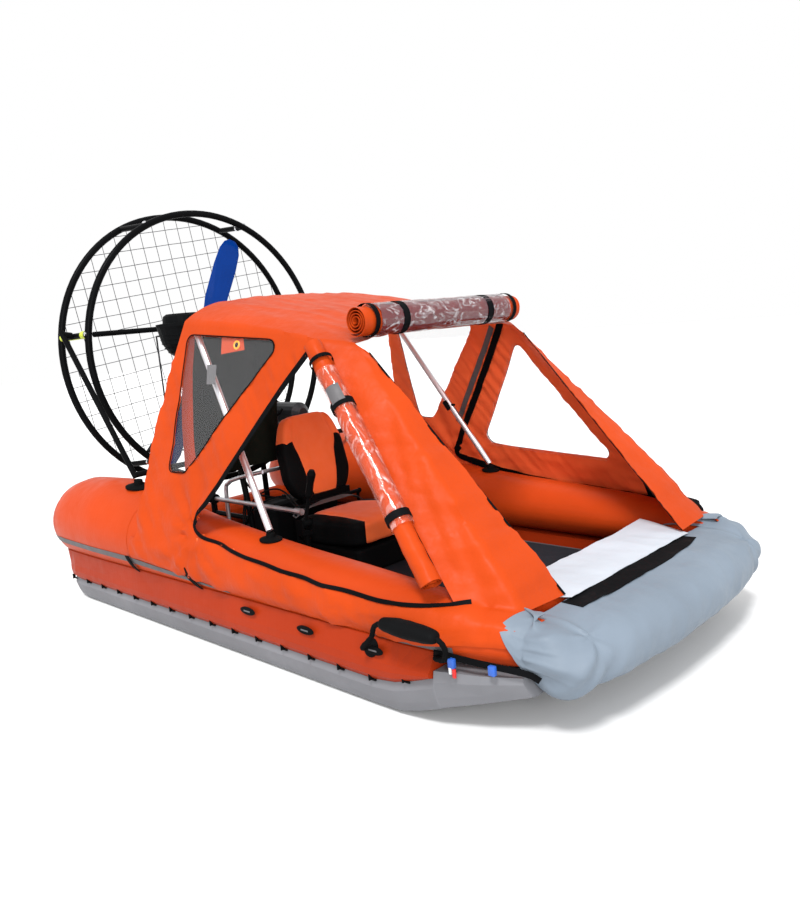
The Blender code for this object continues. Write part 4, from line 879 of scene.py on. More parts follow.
# Canopy
def canopy():
    rear_window = rounded(REAR_WINDOW)
    door_window = rounded(DOOR_WINDOW)
    open_door = zip_line(OPENING_CORNERS) + [(0.460, 0.400), (0.520, 0.300)]
    open_door += [(pillar_edge_x(z), z) for z in (0.300, 1.243)]
    surface = canopy_surface({"port": (rear_window, door_window), "starboard": (rear_window, open_door)})
    # The inner faces take a brightened copy of the orange fabric: painted light shining through it.
    finishes = ["orange_fabric", "orange_lining_painted_glow"]
    for finish in finishes:
        surface.materials.append(look(finish))
    panels = [f"canopy_{part}_{label}" for part in ("side", "skirt", "pillar") for label, _ in SIDES]
    nodes = ("canopy_roof", *panels, "canopy_door_port")
    mesh = thick_mesh(surface, CLOTH, lining=1)
    cover = piece("canopy_fabric", mesh, finishes, smooth=50, stands_for=nodes)
    trims = canopy_trims(rear_window, door_window)
    for name, outline, side in (
        ("rear_window_port", rear_window, 1),
        ("rear_window_starboard", rear_window, -1),
        ("door_window_port", door_window, 1),
    ):
        window_film(name, inset(outline, -FILM_HEM), side)
    rear_painted_shade_sheet()
    window_fittings()


def pillar_edge_x(z):
    """x of the seam between a side panel and its pillar at a height."""
    foot = zip_point(SIDE_FRONT_FOOT_X)
    return ROOF_CORNER.lerp(foot, (ROOF_CORNER.z - z) / (ROOF_CORNER.z - foot.z)).x - 0.010


def canopy_trims(rear_window, door_window):
    """Zips, bindings and straps sewn on the canopy."""
    bindings = []
    for _, side in SIDES:
        bindings.append(side_strap(inset(rear_window, -0.003), side, 0.005, closed=True))
        crown = [mirror(PILLAR_TOP.lerp(PILLAR_FOOT, k / 24), side) for k in range(25)]
        bindings.append(ribbon(crown, [mirror(Vector((0.9, 0.1, 0.3)), side)] * 25, 0.009))
    bindings.append(side_strap(inset(door_window, -0.003), 1, 0.005, closed=True))
    curve = zip_line()
    hits = [on_side(x, z, -1) for x, z in curve]
    widths = [0.026 - 0.010 * min(k / 40, 1.0) for k in range(len(curve))]
    zips = [
        ribbon(*calm([h[0] for h in hits], [h[1] for h in hits]), widths, 0.0024, 0.0026),
        side_strap(curve, 1, 0.016, 0.0022),
        side_strap(curve, 1, 0.036, 0.0022, inside=True),
        side_strap([(1.050, 0.560), (1.075, 0.400)], 1, 0.024, 0.0022, inside=True),
    ]
    facing = side_strap([(0.395, 1.225), (-0.030, 0.720)], 1, 0.030, 0.0018, inside=True)
    return [
        piece("canopy_binding", bindings, "black_webbing"),
        piece("canopy_zips", zips, "black_webbing"),
        piece("canopy_inner_webbing", facing, "grey_webbing"),
    ]


def window_film(name, outline, side):
    """A clear film behind its opening, rippled where it hangs between its seams."""

    def point(u, v):
        p = mirror(side_point(u, v), side)
        p.y -= side * (0.0040 + 0.0016 * (wander(p, 0.11, 4.0) + ridged(p, (0.06, 0.6, 0.30), 8.0)))
        return p

    keep = loft([[Vector((p.x, y, p.y)) for p in outline] for y in sorted((0.30 * side, 1.05 * side))])
    mesh = thick_mesh(surface_of(88, 44, point, side < 0), FILM, keep=keep)
    clear = look("clear_film", FILM_ALPHA)
    film = piece(f"{name}_film", mesh, [clear], stands_for=(name,))
    area = abs(outline_area(outline))


def rear_painted_shade_sheet():
    """A dark sheet with an orange border, hung across the starboard half of the cabin's rear: its dark part
    is painted shade, standing in for the dark seen through the starboard rear window.
    """
    outer_y, width, foot = -0.610, 0.545, 0.650
    border_y, border_z = -0.560, 1.395

    def point(s, v):
        y = outer_y + width * s
        roof = roof_point(ROOF_REAR, abs(y) / ROOF_REAR.y).z
        x = ROOF_REAR.x - 0.012 - 0.165 * v - REAR_EDGE_BOW * math.sin(math.pi * v)
        pleat = math.sin(34.0 * y + 2.0 * wander((y, v, 0), 0.3))
        fold = 0.010 * v * pleat + 0.006 * wander((x, y, v), 0.14, 2.0)
        return Vector((x + fold, y + 0.012 * v * (s - 0.5), roof - 0.006 + (foot - roof) * v))

    mesh = thick_mesh(surface_of(60, 40, point), 0.0010)
    # The dark part is painted shade; the border is the orange fabric.
    shade_sheet = piece("rear_painted_shade_sheet", mesh, ["painted_shade_dark", "orange_fabric"], smooth=60)
    for polygon in mesh.polygons:
        polygon.material_index = int(polygon.center.y < border_y or polygon.center.z > border_z)


def inside_corners(corners, depth):
    """Points behind the starboard side's fabric, from places in x and z."""
    return [hit - out * depth for hit, out in (on_side(x, z, -1) for x, z in corners)]


def patch_mesh(corners, columns):
    a, b, c, d = corners
    return thick_mesh(surface_of(1, columns, lambda t, s: a.lerp(b, s).lerp(d.lerp(c, s), t)), CLOTH, 0.0)


def window_fittings():
    """The orange tab with its ring, a black disc of painted shade in the ring's hole, and the grey patch
    inside the starboard rear window.
    """
    tab = inside_corners(((-0.088, 1.292), (0.045, 1.286), (0.062, 1.236), (-0.080, 1.224)), 0.010)
    piece("window_tab", patch_mesh(tab, 8), "orange_fabric")
    middle = sum(tab, Vector()) / 4
    normal = on_side(middle.x, middle.z, -1)[1]
    eye = on_side(0.013, 1.257, -1)[0] - normal * 0.0085
    ring = ring_tube(eye, normal, 0.0150, 0.0042, 36, 10)
    piece("window_tab_ring", ring, ["ring_yellow"])
    # A black disc filling the ring's hole: painted shade where the hole shows only dark.
    piece("window_tab_hole_painted_shade", turned(eye, normal, ((0.000, 0.011), (0.0010, 0.011)), 24), "black_rubber")
    grey = inside_corners(((-0.163, 1.185), (-0.100, 1.185), (-0.092, 1.103), (-0.155, 1.103)), 0.012)
    piece("window_patch", patch_mesh(grey, 6), "grey_webbing")


# Rolls
def roll_mesh(start, end, radius, gap, seed, amount, stations, aim):
    """A rolled sheet between two points: a spiral drawn along, dented and a little uneven."""
    along = (end - start).normalized()
    first, second = basis(along)
    count = SPIRAL_STEPS * ROLL_TURNS

    def point(outer, t):
        middle = start.lerp(end, t)
        reach = radius - gap * ROLL_TURNS * (1 - outer)
        out = reach * spoke(first, second, aim + 2 * math.pi * ROLL_TURNS * outer)
        dents = wander(middle + out, 0.09, seed) + 0.5 * ridged(middle + out, (0.12, 0.05, 0.05), seed)
        push = along * 0.006 * wander((count * outer * 0.11, seed, 0), 1.0)
        return middle + out * (1 + amount * outer * dents - amount) + push

    return surface_of(count, stations, point)


def roll_film(name, start, end, plane, counts, reach, material):
    """Film round a roll between two points of its axis. reach is the radius at an angle and a share along."""

    def point(u, v):
        a = 2 * math.pi * u
        return start.lerp(end, v) + reach(a, v) * spoke(*plane, a)

    mesh = thick_mesh(surface_of(*counts, point), FILM)
    return piece(name, mesh, [material], smooth=70)


def windscreen_roll():
    centre = FRONT_ROLL_CENTRE
    start, end = (centre + TO_PORT * y for y in (FRONT_ROLL_Y[0] + 0.004, FRONT_ROLL_Y[1] - 0.004))
    mesh = thick_mesh(roll_mesh(start, end, FRONT_ROLL_RADIUS, 0.0118, 2.0, 0.05, 60, 2.2), 0.0022, 0.0)
    front = piece("windscreen_roll_fabric", mesh, "orange_fabric", smooth=60, stands_for=("windscreen_roll",))

    def reach(a, v):
        p = Vector((math.cos(a), (-0.425 + 0.80 * v) * 2, math.sin(a)))
        dents = 0.0035 * ridged(p, (0.35, 0.28, 0.35), 6.0) + 0.0025 * wander(p, 0.5, 9.0)
        return 0.0600 + min(dents, 0.0030)

    # The windscreen roll's film, with white streaks of painted highlight.
    tint = (0.10, 0.035, 0.050, 1)
    material = film_with_painted_highlights("clear_film_windscreen_painted_highlights", tint, 0.42, 0.520, 34.0, (1.0, 0.6, 1.0))
    start, end = (centre + TO_PORT * y for y in (-0.425, 0.375))
    film = roll_film("windscreen_roll_film", start, end, (FORWARD, UP), (44, 90), reach, material)
    straps = []
    for y, width in FRONT_ROLL_STRAPS:
        straps.append(band_round(centre + TO_PORT * (y - width / 2), TO_PORT, 0.0622, width))
    belts = piece("windscreen_roll_straps", straps, "black_webbing")


def door_roll():
    high, low = (mirror(side_point(DOOR_ROLL_COLUMN, v) + DOOR_ROLL_AWAY, -1) for v in DOOR_ROLL_ENDS)
    mesh = thick_mesh(roll_mesh(high, low, DOOR_ROLL_RADIUS, 0.0070, 5.0, 0.16, 90, 1.0), CLOTH, 0.0)
    door = piece("door_roll_fabric", mesh, "orange_fabric", smooth=60, stands_for=("door_roll",))
    along = (low - high).normalized()
    plane = basis(along)
    first_share, share_span = 0.13, 0.66

    def reach(a, v):
        p = Vector((math.cos(a), math.sin(a), (first_share + share_span * v) * 4))
        return 0.0412 + 0.0018 * ridged(p, (0.4, 0.4, 0.25), 3.0) + 0.0012 * wander(p, 0.6, 1.0)

    # The door roll's film, with white streaks of painted highlight.
    tint = (0.60, 0.16, 0.11, 1)
    material = film_with_painted_highlights("clear_film_door_painted_highlights", tint, 0.10, 0.507, 40.0, (0.5, 1.0, 0.12))
    start, end = (high.lerp(low, share) for share in (first_share, first_share + share_span))
    film = roll_film("door_roll_film", start, end, plane, (36, 80), reach, material)
    straps = []
    for t, width in DOOR_ROLL_STRAPS:
        straps.append(band_round(high.lerp(low, t), along, 0.0440, width))
    belts = piece("door_roll_straps", straps, "black_webbing")
    toward = Vector((0.55, -0.8, 0.2))
    facing = max((math.radians(3 * k) for k in range(120)), key=lambda a: spoke(*plane, a).dot(toward))
    half_arc = math.radians(36)

    def patch(u, v):
        return high.lerp(low, 0.215 + 0.070 * v) + 0.0450 * spoke(*plane, facing + half_arc * (2 * u - 1))

    greys = piece("door_roll_patch", thick_mesh(surface_of(8, 8, patch), 0.0014, 0.0), "grey_webbing")


# Hull
def hull():
    fine = [p.x for p in along_line([(x, 0.0) for x, *_ in TUBE_STATIONS], 0.06)]
    for label, side in SIDES:
        rings = [[mirror(on_tube(x, 2 * math.pi * i / 48), side) for i in range(48)] for x in fine]
        mesh = half_space(loft(rings), BOW_PLANE_POINT - BOW_NORMAL * 0.0004, BOW_NORMAL)
        piece(f"main_tube_{label}_skin", mesh, "orange_hull", smooth=75, stands_for=(f"main_tube_{label}",))
        turns = [math.radians(a) for a in range(-10, 140, 6)]
        seams = [tube_band([(x, a) for a in turns], side, 0.030, 0.0008) for x in SEAM_PLACES]
        piece(f"main_tube_{label}_seams", seams, "orange_hull")
        hull_side_parts(label, side)
        bow_side_parts(label, side)


def hull_side_parts(label, side):
    strips = []
    for stations in (REAR_STRIP, FRONT_STRIP):
        fine = along_line(stations, 0.03)
        route = [(p.x, tube_angle(p.x, p.y)) for p in fine]
        strips.append(tube_band(route, side, [p.z for p in fine], 0.0012))
    piece(f"tube_strip_{label}", strips, "grey_webbing")
    hooks = []
    inner = side * 0.857
    first, spacing, count = HOOKS
    for x in (first + spacing * k for k in range(count)):
        z = 0.110 + max(0.0, (x - 0.90)) * 0.20
        hooks.append(box((x - 0.013, inner, z - 0.003), (x + 0.013, side * 0.863, z + 0.003)))
        hooks.append(box((x - 0.013, inner, z - 0.003), (x - 0.008, side * 0.871, z + 0.022)))
    piece(f"lacing_hooks_{label}", hooks, "black_plastic")
    patches, slots = [], []
    wide, tall = FORWARD * 0.046, UP * 0.016
    for x, z in OVALS:
        rings = [(side * (0.877 + out), share) for out, share in ((-0.002, 1.0), (0.002, 1.0), (0.004, 0.7))]
        patches.append(loft([ring_at(Vector((x, y, z)), wide, tall, share, 24) for y, share in rings]))
        slots.append(box((x - 0.020, side * 0.8800, z - 0.003), (x + 0.020, side * 0.8822, z + 0.003), 0.001))
    piece(f"oval_patches_{label}", patches, "black_rubber")
    piece(f"oval_patch_slots_{label}", slots, "grey_webbing")
    shares = [k / 12 for k in range(13)]
    widths = [0.030 if t < 0.7 else 0.030 * (1 - (t - 0.7) / 0.32) for t in shares]
    straps = []
    for x, lean in ((-0.615, 0.005), (-0.165, 0.075)):
        stations = [(x + lean * t, tube_angle(x, 0.350 - 0.095 * t)) for t in shares]
        straps.append(tube_band(stations, side, widths, 0.003, 0.008))
    piece(f"hold_down_straps_{label}", straps, "black_webbing")


def bow_side_parts(label, side):
    """The elastic edge from the handle to the bow cover, and its clips."""
    route = (
        (1.178, 0.838, 0.262),
        (1.240, 0.824, 0.258),
        (1.320, 0.806, 0.250),
        (1.400, 0.778, 0.240),
        (1.470, 0.745, 0.225),
        (1.500, 0.728, 0.205),
    )
    line = curve_through([(x, side * y, z) for x, y, z in route])
    lean = [Vector((0.25, side, 0.25)).normalized()] * len(line)
    piece(f"elastic_edge_{label}", ribbon(line, lean, 0.020, 0.004), "black_webbing")
    clips = []
    for x, y, z in ((1.245, 0.832, 0.243), (1.375, 0.796, 0.236)):
        low, high = (x - 0.012, side * (y - 0.006), z - 0.018), (x + 0.012, side * (y + 0.010), z + 0.014)
        clips.append(box(low, high, 0.003))
    piece(f"elastic_clips_{label}", clips, "clip_blue")
    for part, finish, (low_x, high_x), (low_z, high_z) in (
        ("tabs", "clip_white", (1.236, 1.246), (0.205, 0.228)),
        ("pulls", "zip_red", (1.250, 1.262), (0.196, 0.226)),
    ):
        block = box((low_x, side * 0.834, low_z), (high_x, side * 0.842, high_z), 0.002)
        piece(f"elastic_clip_{part}_{label}", block, finish)


def handles():
    """A padded rope handle on each side of the bow, held by a patch at each end."""
    bend = (
        (0.955, 0.895, 0.285),
        (0.990, 0.908, 0.335),
        (1.045, 0.912, 0.356),
        (1.140, 0.911, 0.356),
        (1.245, 0.908, 0.352),
        (1.278, 0.898, 0.322),
        (1.262, 0.885, 0.275),
    )
    button = ((0, 0.033), (0.004, 0.032), (0.007, 0.026), (0.012, 0.016))
    for label, side in SIDES:
        ends, patches = [], []
        for seat_at, up in HANDLE_PATCHES:
            start = mirror(Vector(seat_at), side)
            normal = mirror(Vector((0, math.cos(up), math.sin(up))), side)
            patches.append(turned(start, normal, button, 28))
            ends.append(start + normal * 0.006)
        rise = Vector((0.000, side * 0.034, 0.012))
        middle = [(x, side * y, z) for x, y, z in bend]
        route = curve_through((ends[0], ends[0] + rise, *middle, ends[1] + rise, ends[1]), 8)
        radii = [0.0088 + 0.0006 * math.sin(1.9 * i) for i in range(len(route))]
        piece(f"handle_rope_{label}", pipe(route, radii, 12), "black_rope", smooth=70)
        piece(f"handle_patches_{label}", patches, "black_rubber", stands_for=(f"carry_handle_{label}",))
        start, end = Vector((1.027, side * 0.912, 0.356)), Vector((1.259, side * 0.908, 0.352))
        plane = basis(end - start)
        rings = []
        for t in (k / 40 for k in range(41)):
            reach = 0.010 + 0.021 * (math.sin(math.pi * t) ** 0.28 if 0 < t < 1 else 0.0)
            ring = []
            for a in (2 * math.pi * i / 28 for i in range(28)):
                out = spoke(*plane, a)
                point = start.lerp(end, t) + out * reach * (1 + 0.10 * math.cos(2 * a))
                ring.append(point + out * 0.0016 * wander(point, 0.03, 2.0))
            rings.append(ring)
        grip = piece(f"handle_grip_{label}", loft(rings), "seat_black", smooth=70)


# Bow
CORNER_Y = 0.575
CUFF_X = 1.460
CUFF_CLEARANCE = 0.0215
# Points of a section, how far it turns from its front each way in degrees, and those that the corner takes
SECTION_STEPS = 96
SECTION_REACH = 150
CORNER_SAMPLES = (13, 88)
MIDDLE_SECTIONS = 130
CORNER_STEPS = 40
CUFF_STEPS = 15
# Where the cuff starts and ends round the tube, in degrees.
CUFF_LOW = -72
CUFF_HIGH = 92
# Columns of the cuff's edge: angle round the tube in degrees, x.
CUFF_EDGE = ((-72, 1.452), (-20, 1.442), (0, 1.428), (45, 1.372), (92, 1.400))


def smooth_station(y, column):
    """A value of the cover's table at a distance from the middle, without corners."""
    total, weight = 0.0, 0.0
    for k in range(-4, 5):
        at = min(max(abs(y) + 0.012 * k, 0.0), COVER_STATIONS[-1][0])
        total += (5 - abs(k)) * mix(COVER_STATIONS, at, column)
        weight += 5 - abs(k)
    return total / weight


def cover_section(y):
    """The bow cover's smooth section at y, as points with the directions they face."""
    front, low, high = (smooth_station(y, column) for column in (1, 2, 3))
    row = []
    for a in (math.radians(SECTION_REACH * (2 * i / SECTION_STEPS - 1)) for i in range(SECTION_STEPS + 1)):
        c, s = math.cos(a), math.sin(a)
        x = min(front - COVER_DEPTH, 1.45) + COVER_DEPTH * math.copysign(abs(c) ** COVER_ROUNDNESS, c)
        z = (low + high) / 2 + (high - low) / 2 * math.copysign(abs(s) ** COVER_ROUNDNESS, s)
        row.append((Vector((x, y, z)), Vector((c, 0.35 * y, s)).normalized()))
    return row


def cover_corner(side):
    """The cover's end, turned round the corner from the bow on to a side tube and out to its cuff."""
    section = cover_section(side * CORNER_Y)[slice(*CORNER_SAMPLES)]
    rows = [[] for _ in range(CORNER_STEPS + CUFF_STEPS + 1)]
    for j, (start, facing) in enumerate(section):
        share = j / (len(section) - 1)
        a = math.radians(CUFF_LOW + (CUFF_HIGH - CUFF_LOW) * share)
        end = mirror(on_tube(CUFF_X, a, CUFF_CLEARANCE), side)
        far = mirror(Vector((0.0, math.cos(a), math.sin(a))), side)
        first = start + Vector((0, 0.60 * (end.y - start.y), 0))
        second = end + Vector((0.60 * max(start.x - end.x, 0.0), 0, 0))
        for k in range(CORNER_STEPS + 1):
            t = k / CORNER_STEPS
            p = (1 - t) ** 3 * start + 3 * (1 - t) ** 2 * t * first + 3 * (1 - t) * t**2 * second + t**3 * end
            out = facing.lerp(far, t).normalized()
            bulge = 0.024 * hill(t, 0.36, 0.22) * hill(share, 0.24, 0.16)
            bulge += 0.016 * hill(t, 0.55, 0.30) * hill(share, 0.88, 0.16)
            fold = 0.0060 * math.sin(math.pi * t) * math.sin(26.0 * share + 5.0 * t)
            fold += 0.0050 * t * ridged((share, t, side), (0.11, 0.8, 1.0), 4.0)
            rows[k].append(p + cover_crease(p, out) + out * (bulge + fold))
        edge = mix(CUFF_EDGE, math.degrees(a))
        for k in range(1, CUFF_STEPS + 1):
            t = k / CUFF_STEPS
            fold = 0.0030 * (1 - t) * ridged((share, 1.0 + t, side), (0.11, 0.8, 1.0), 4.0)
            point = on_tube(CUFF_X + (edge - CUFF_X) * t, a, CUFF_CLEARANCE + fold - 0.0015 * t)
            rows[CORNER_STEPS + k].append(mirror(point, side))
    return grid(rows, flip=side > 0)


def cover_crease(p, out):
    """Pleats at the two front corners, a shallow hollow on top and loose ripples."""
    total = 0.0
    for side in (1, -1):
        star = p - Vector((1.605, side * 0.590, 0.315))
        angle = math.atan2(star.z - 0.3 * star.x, star.y * side)
        near = hill(star.length, 0, 0.15) * min(star.length / 0.03, 1.0)
        total += 0.0090 * near * (1.0 - 1.4 * abs(math.sin(2.5 * angle + side)))
        low = p - Vector((1.600, side * 0.600, 0.170))
        total += 0.007 * hill(low.length, 0, 0.11) * math.sin(70.0 * (low.y * side + 0.6 * low.z))
    total += 0.0050 * wander(p, 0.16, 4.0) + 0.0034 * ridged(p, (0.20, 0.10, 0.12), 1.5)
    facing_up = max(0.0, out.z)
    total -= 0.006 * facing_up * hill(p.x, 1.53, 0.06) * math.exp(-((p.y / 0.45) ** 4))
    under_flap = facing_up * clamped((1.50 - p.x) / 0.05) * clamped((0.60 - abs(p.y)) / 0.10)
    return out * (max(total, -0.004) * (1.0 - under_flap) - 0.002 * under_flap)


def bow_cover():
    places = (2 * k / MIDDLE_SECTIONS - 1 for k in range(MIDDLE_SECTIONS + 1))
    sections = [cover_section(CORNER_Y * place) for place in places]
    rows = [[p + cover_crease(p, out) for p, out in section] for section in sections]
    sheet = half_space(grid(rows, flip=True), BOW_PLANE_POINT + BOW_NORMAL * 0.0006, -BOW_NORMAL, fill=False)
    bm = filled([sheet, cover_corner(1), cover_corner(-1)])
    bmesh.ops.remove_doubles(bm, verts=bm.verts[:], dist=0.0004)
    mesh = thick_mesh(mesh_of(bm), CLOTH, 0.0)
    cover = piece("bow_cover_fabric", mesh, "cover_fabric", smooth=70, stands_for=("bow_cover",))
    tree = tree_of(mesh)
    points, normals = [], []
    line = ((1.500, -0.470, 0), (1.512, -0.30, 0), (1.515, 0.0, 0), (1.505, 0.25, 0), (1.478, 0.395, 0))
    for p in curve_through(line, 14):
        hit, normal, _, _ = tree.ray_cast(Vector((p.x - 0.044, p.y, 1.0)), -UP)
        points.append(hit)
        normals.append(normal if normal.z > 0 else -normal)
    strip = piece("bow_cover_strip", ribbon(points, normals, 0.084), "black_webbing")


def bow_flap():
    """The pale flap that lies back from the cover over the bow tube."""

    def point(s, t):
        x = FLAP_BACK_X + t * (FLAP_FRONT_X - FLAP_BACK_X)
        half = FLAP_BACK_HALF + t * (FLAP_FRONT_HALF - FLAP_BACK_HALF)
        y = half * (2 * s - 1)
        lift = 0.0040 * wander((x, y, 0), 0.13, 3.0) + 0.0020 * ridged((x, y, 0), (0.30, 0.08, 1), 4.0)
        droop = 0.012 * (1 - t) ** 2 * (1 - (y / half) ** 4)
        return Vector((x, y, FLAP_Z + 0.002 + max(lift, -0.0012) - droop))

    mesh = thick_mesh(surface_of(72, 36, point), 0.0014, 1.0)
    flap = piece("bow_flap_fabric", mesh, "flap_fabric", smooth=60, stands_for=("bow_flap",))


# Seat
# The seams' share of the half width in a cushion's own grid, and its cuts along each edge
CUSHION_SEAM = 0.60
CUSHION_CUTS = 34
SEAT_FINISHES = ["seat_orange", "seat_black"]


def cushion_mesh(half, place, power, crown, seam_at, seed, taper=((0, 1),), wide_from=2.0):
    """A stuffed closed form: a rounded block, crowned on one face, pinched along its two seams.

    place turns a point of the block into the boat's frame. seam_at and taper are tables of the seams' place
    and of the width, over the way along the block from -1 to 1.
    """
    bm = bmesh.new()
    bmesh.ops.create_cube(bm, size=2.0)
    bmesh.ops.subdivide_edges(bm, edges=bm.edges[:], cuts=CUSHION_CUTS, use_grid_fill=True)
    for face in bm.faces:
        centre = face.calc_center_median()
        orange = (abs(centre.y) < CUSHION_SEAM or centre.x > wide_from) and centre.z > -0.75
        face.material_index = 0 if orange else 1
    for vert in bm.verts:
        q = vert.co.copy()
        p = q / (abs(q.x) ** power + abs(q.y) ** power + abs(q.z) ** power) ** (1 / power)
        top = max(p.z, 0.0)
        pinch = hill(abs(q.y), CUSHION_SEAM, 0.05)
        swell = crown * (1 - p.x**2) * (1 - p.y**2)
        z = p.z + (swell - 0.007 * pinch) / half[2] * top
        x = p.x * (1 - 0.006 / half[0] * pinch * abs(p.x))
        share, goal = abs(p.y), mix(seam_at, p.x)
        if share < CUSHION_SEAM:
            moved = share * goal / CUSHION_SEAM
        else:
            moved = goal + (share - CUSHION_SEAM) * (1 - goal) / (1 - CUSHION_SEAM)
        y = math.copysign(moved, p.y)
        point = Vector((x * half[0], y * half[1] * mix(taper, p.x), z * half[2]))
        puckers = 0.0022 * wander(point, 0.07, seed) + 0.0012 * ridged(point, (0.10, 0.05, 0.10), seed)
        vert.co = place(point + q.normalized() * puckers)
    return mesh_of(bm)


def seat():
    middle = Vector((-0.015, 0.0, 0.3540))
    seams = ((-1.0, 0.56), (1.0, 0.76))
    half = (0.230, 0.248, 0.062)
    mesh = cushion_mesh(half, lambda p: p + middle + UP * 0.050 * p.x, 6.0, 0.014, seams, 1.0)
    cushion = piece("seat_cushion_cover", mesh, SEAT_FINISHES, smooth=70, stands_for=("seat_cushion",))
    up = Vector((-math.sin(BACK_LEAN), 0, math.cos(BACK_LEAN)))
    back = Vector((-math.cos(BACK_LEAN), 0, -math.sin(BACK_LEAN)))
    centre = SEAT_HINGE + up * (0.51 * BACK_LENGTH + 0.004) + back * (BACK_THICKNESS / 2 + 0.004)

    def stand(p):
        return centre + up * p.x + TO_PORT * p.y - back * p.z

    taper = ((-1.0, 0.84), (-0.40, 1.0), (0.24, 0.965), (0.60, 0.86), (0.88, 0.76), (1.0, 0.70))
    seams = ((-1.0, 0.46), (-0.35, 0.50), (0.10, 0.60), (0.42, 0.74), (1.0, 0.74))
    mesh = cushion_mesh((0.216, 0.202, 0.046), stand, 5.0, 0.008, seams, 3.0, taper, 0.42)
    nodes = ("seat_back",)
    rest = piece("seat_back_cover", mesh, SEAT_FINISHES, body="seat_back", smooth=70, stands_for=nodes)
    bars = [turned(SEAT_HINGE - TO_PORT * 0.205, TO_PORT, ((0, 0.010), (0.41, 0.010)), 16)]
    bars.append(box((-0.268, -0.145, 0.441), (-0.242, 0.145, 0.485)))
    piece("seat_hinge_bar", bars, "black_tube", body="seat_back")
    corners = (
        (-0.262, -0.215, 0.395),
        (-0.235, -0.140, 0.434),
        (-0.200, 0.010, 0.447),
        (-0.225, 0.130, 0.436),
        (-0.255, 0.215, 0.395),
    )
    belt = curve_through(corners, 10)
    strap = ribbon(belt, [Vector((0.15, 0, 1)).normalized()] * len(belt), 0.042, 0.0024, 0.003)
    piece("seat_belt", strap, "grey_webbing")


# Small parts in the cabin
def cabin_parts():
    cables = []
    for offset, bend in ((0.0, 0.06), (0.014, 0.10)):
        route = (
            (-0.020, -0.340 + offset, 0.455),
            (-0.180, -0.330 - offset, 0.470 + bend),
            (-0.420, -0.320, 0.400 + bend),
            (-0.640, -0.250 + offset, 0.330),
            (-0.735, -0.140, 0.560),
            (-0.790, -0.090, 0.740),
        )
        cables.append(hose(route, 0.0042, 8))
    piece("control_cables", cables, "black_rubber", smooth=70)
    route = (
        (-0.690, -0.300, 0.185),
        (-0.690, -0.300, 0.500),
        (-0.660, -0.296, 0.556),
        (-0.600, -0.290, 0.580),
        (-0.480, -0.288, 0.608),
        (-0.410, -0.262, 0.622),
    )
    foot = ((0, 0.030), (0.004, 0.030), (0.006, 0.014), (0.030, 0.013))
    tubes = [
        hose(route, 0.0105, 14, 8),
        turned((-0.690, -0.300, 0.1662), UP, foot, 20),
        rod((-0.410, -0.264, 0.622), (-0.410, 0.257, 0.622), 0.0105, 14),
    ]
    piece("seat_frame_tube", tubes, "aluminium", smooth=60)
    collar = ((0, 0.0185), (0.002, 0.020), (0.048, 0.020), (0.050, 0.0185))
    edges = []
    for label, side in SIDES:
        head = Vector((-0.312, side * 0.602, 1.345))
        low = mirror(on_tube(0.226, math.radians(90)), side)
        along = (head - low).normalized()
        at = low.lerp(head, 0.38)
        knob = at + along * 0.025
        clamp = [turned(at, along, collar, 20), rod(knob + FORWARD * 0.016, knob + FORWARD * 0.046, 0.006)]
        piece(f"pole_clamp_{label}", clamp, "black_plastic")
        tie = band_round(low.lerp(head, 0.97), along, 0.0152, 0.030)
        piece(f"pole_tie_{label}", tie, "yellow_tape")
        edges.append(box((-1.355, side * 0.588, 0.1652), (1.160, side * 0.596, 0.1672)))
    edges.append(box((1.150, -0.590, 0.1652), (1.158, 0.590, 0.1672)))
    piece("deck_edging", edges, "grey_webbing")


# Cage
def on_ring(ring, out=Vector()):
    """A point of one of the cage's rings, in the power unit's own frame."""
    return FORWARD * ring[0] + out * ring[1]


def cage():
    rings = [ring_tube(on_ring(ring), FORWARD, ring[1], RING_TUBE) for ring in (REAR_RING, FRONT_RING)]
    spacers, tapes, clamps = [], [], []
    bolt = ((0, 0.011), (0.006, 0.011), (0.008, 0.006))
    for angle in SPACERS:
        out = spoke(TO_PORT, UP, math.radians(angle))
        rear, front = on_ring(REAR_RING, out), on_ring(FRONT_RING, out)
        along = (front - rear).normalized()
        spacers.append(rod(rear, front - along * (RING_TUBE + 0.0008), 0.0145, 18))
        if angle == TAPED_SPACER:
            tapes += [band_round(rear.lerp(front, t), along, 0.0180, 0.030) for t in (0.06, 0.80)]
            under = [rear.lerp(front, t) for t in (0.20, 0.78)]
            tapes.append(ribbon(under, [-UP] * 2, 0.010, 0.003, 0.0150))
        elif angle != BARE_SPACER:
            clamps.append(band_round(rear.lerp(front, 0.74), along, 0.0150, 0.012, 0.0020))
        clamps.append(turned(front + out * (RING_TUBE - 0.002), out, bolt, 6))
    for mesh in rings + spacers + tapes + clamps:
        mesh.transform(POWER)
    skin = [rings[0], *spacers]
    piece("cage_rear_ring_skin", skin, "black_tube", smooth=60, stands_for=("cage_rear_ring",))
    piece("cage_tapes", tapes, "yellow_tape")
    piece("cage_bolts", clamps, "bright_metal")
    piece("cage_front_ring_skin", rings[1], "black_tube", smooth=60, stands_for=("cage_front_ring",))
    net()


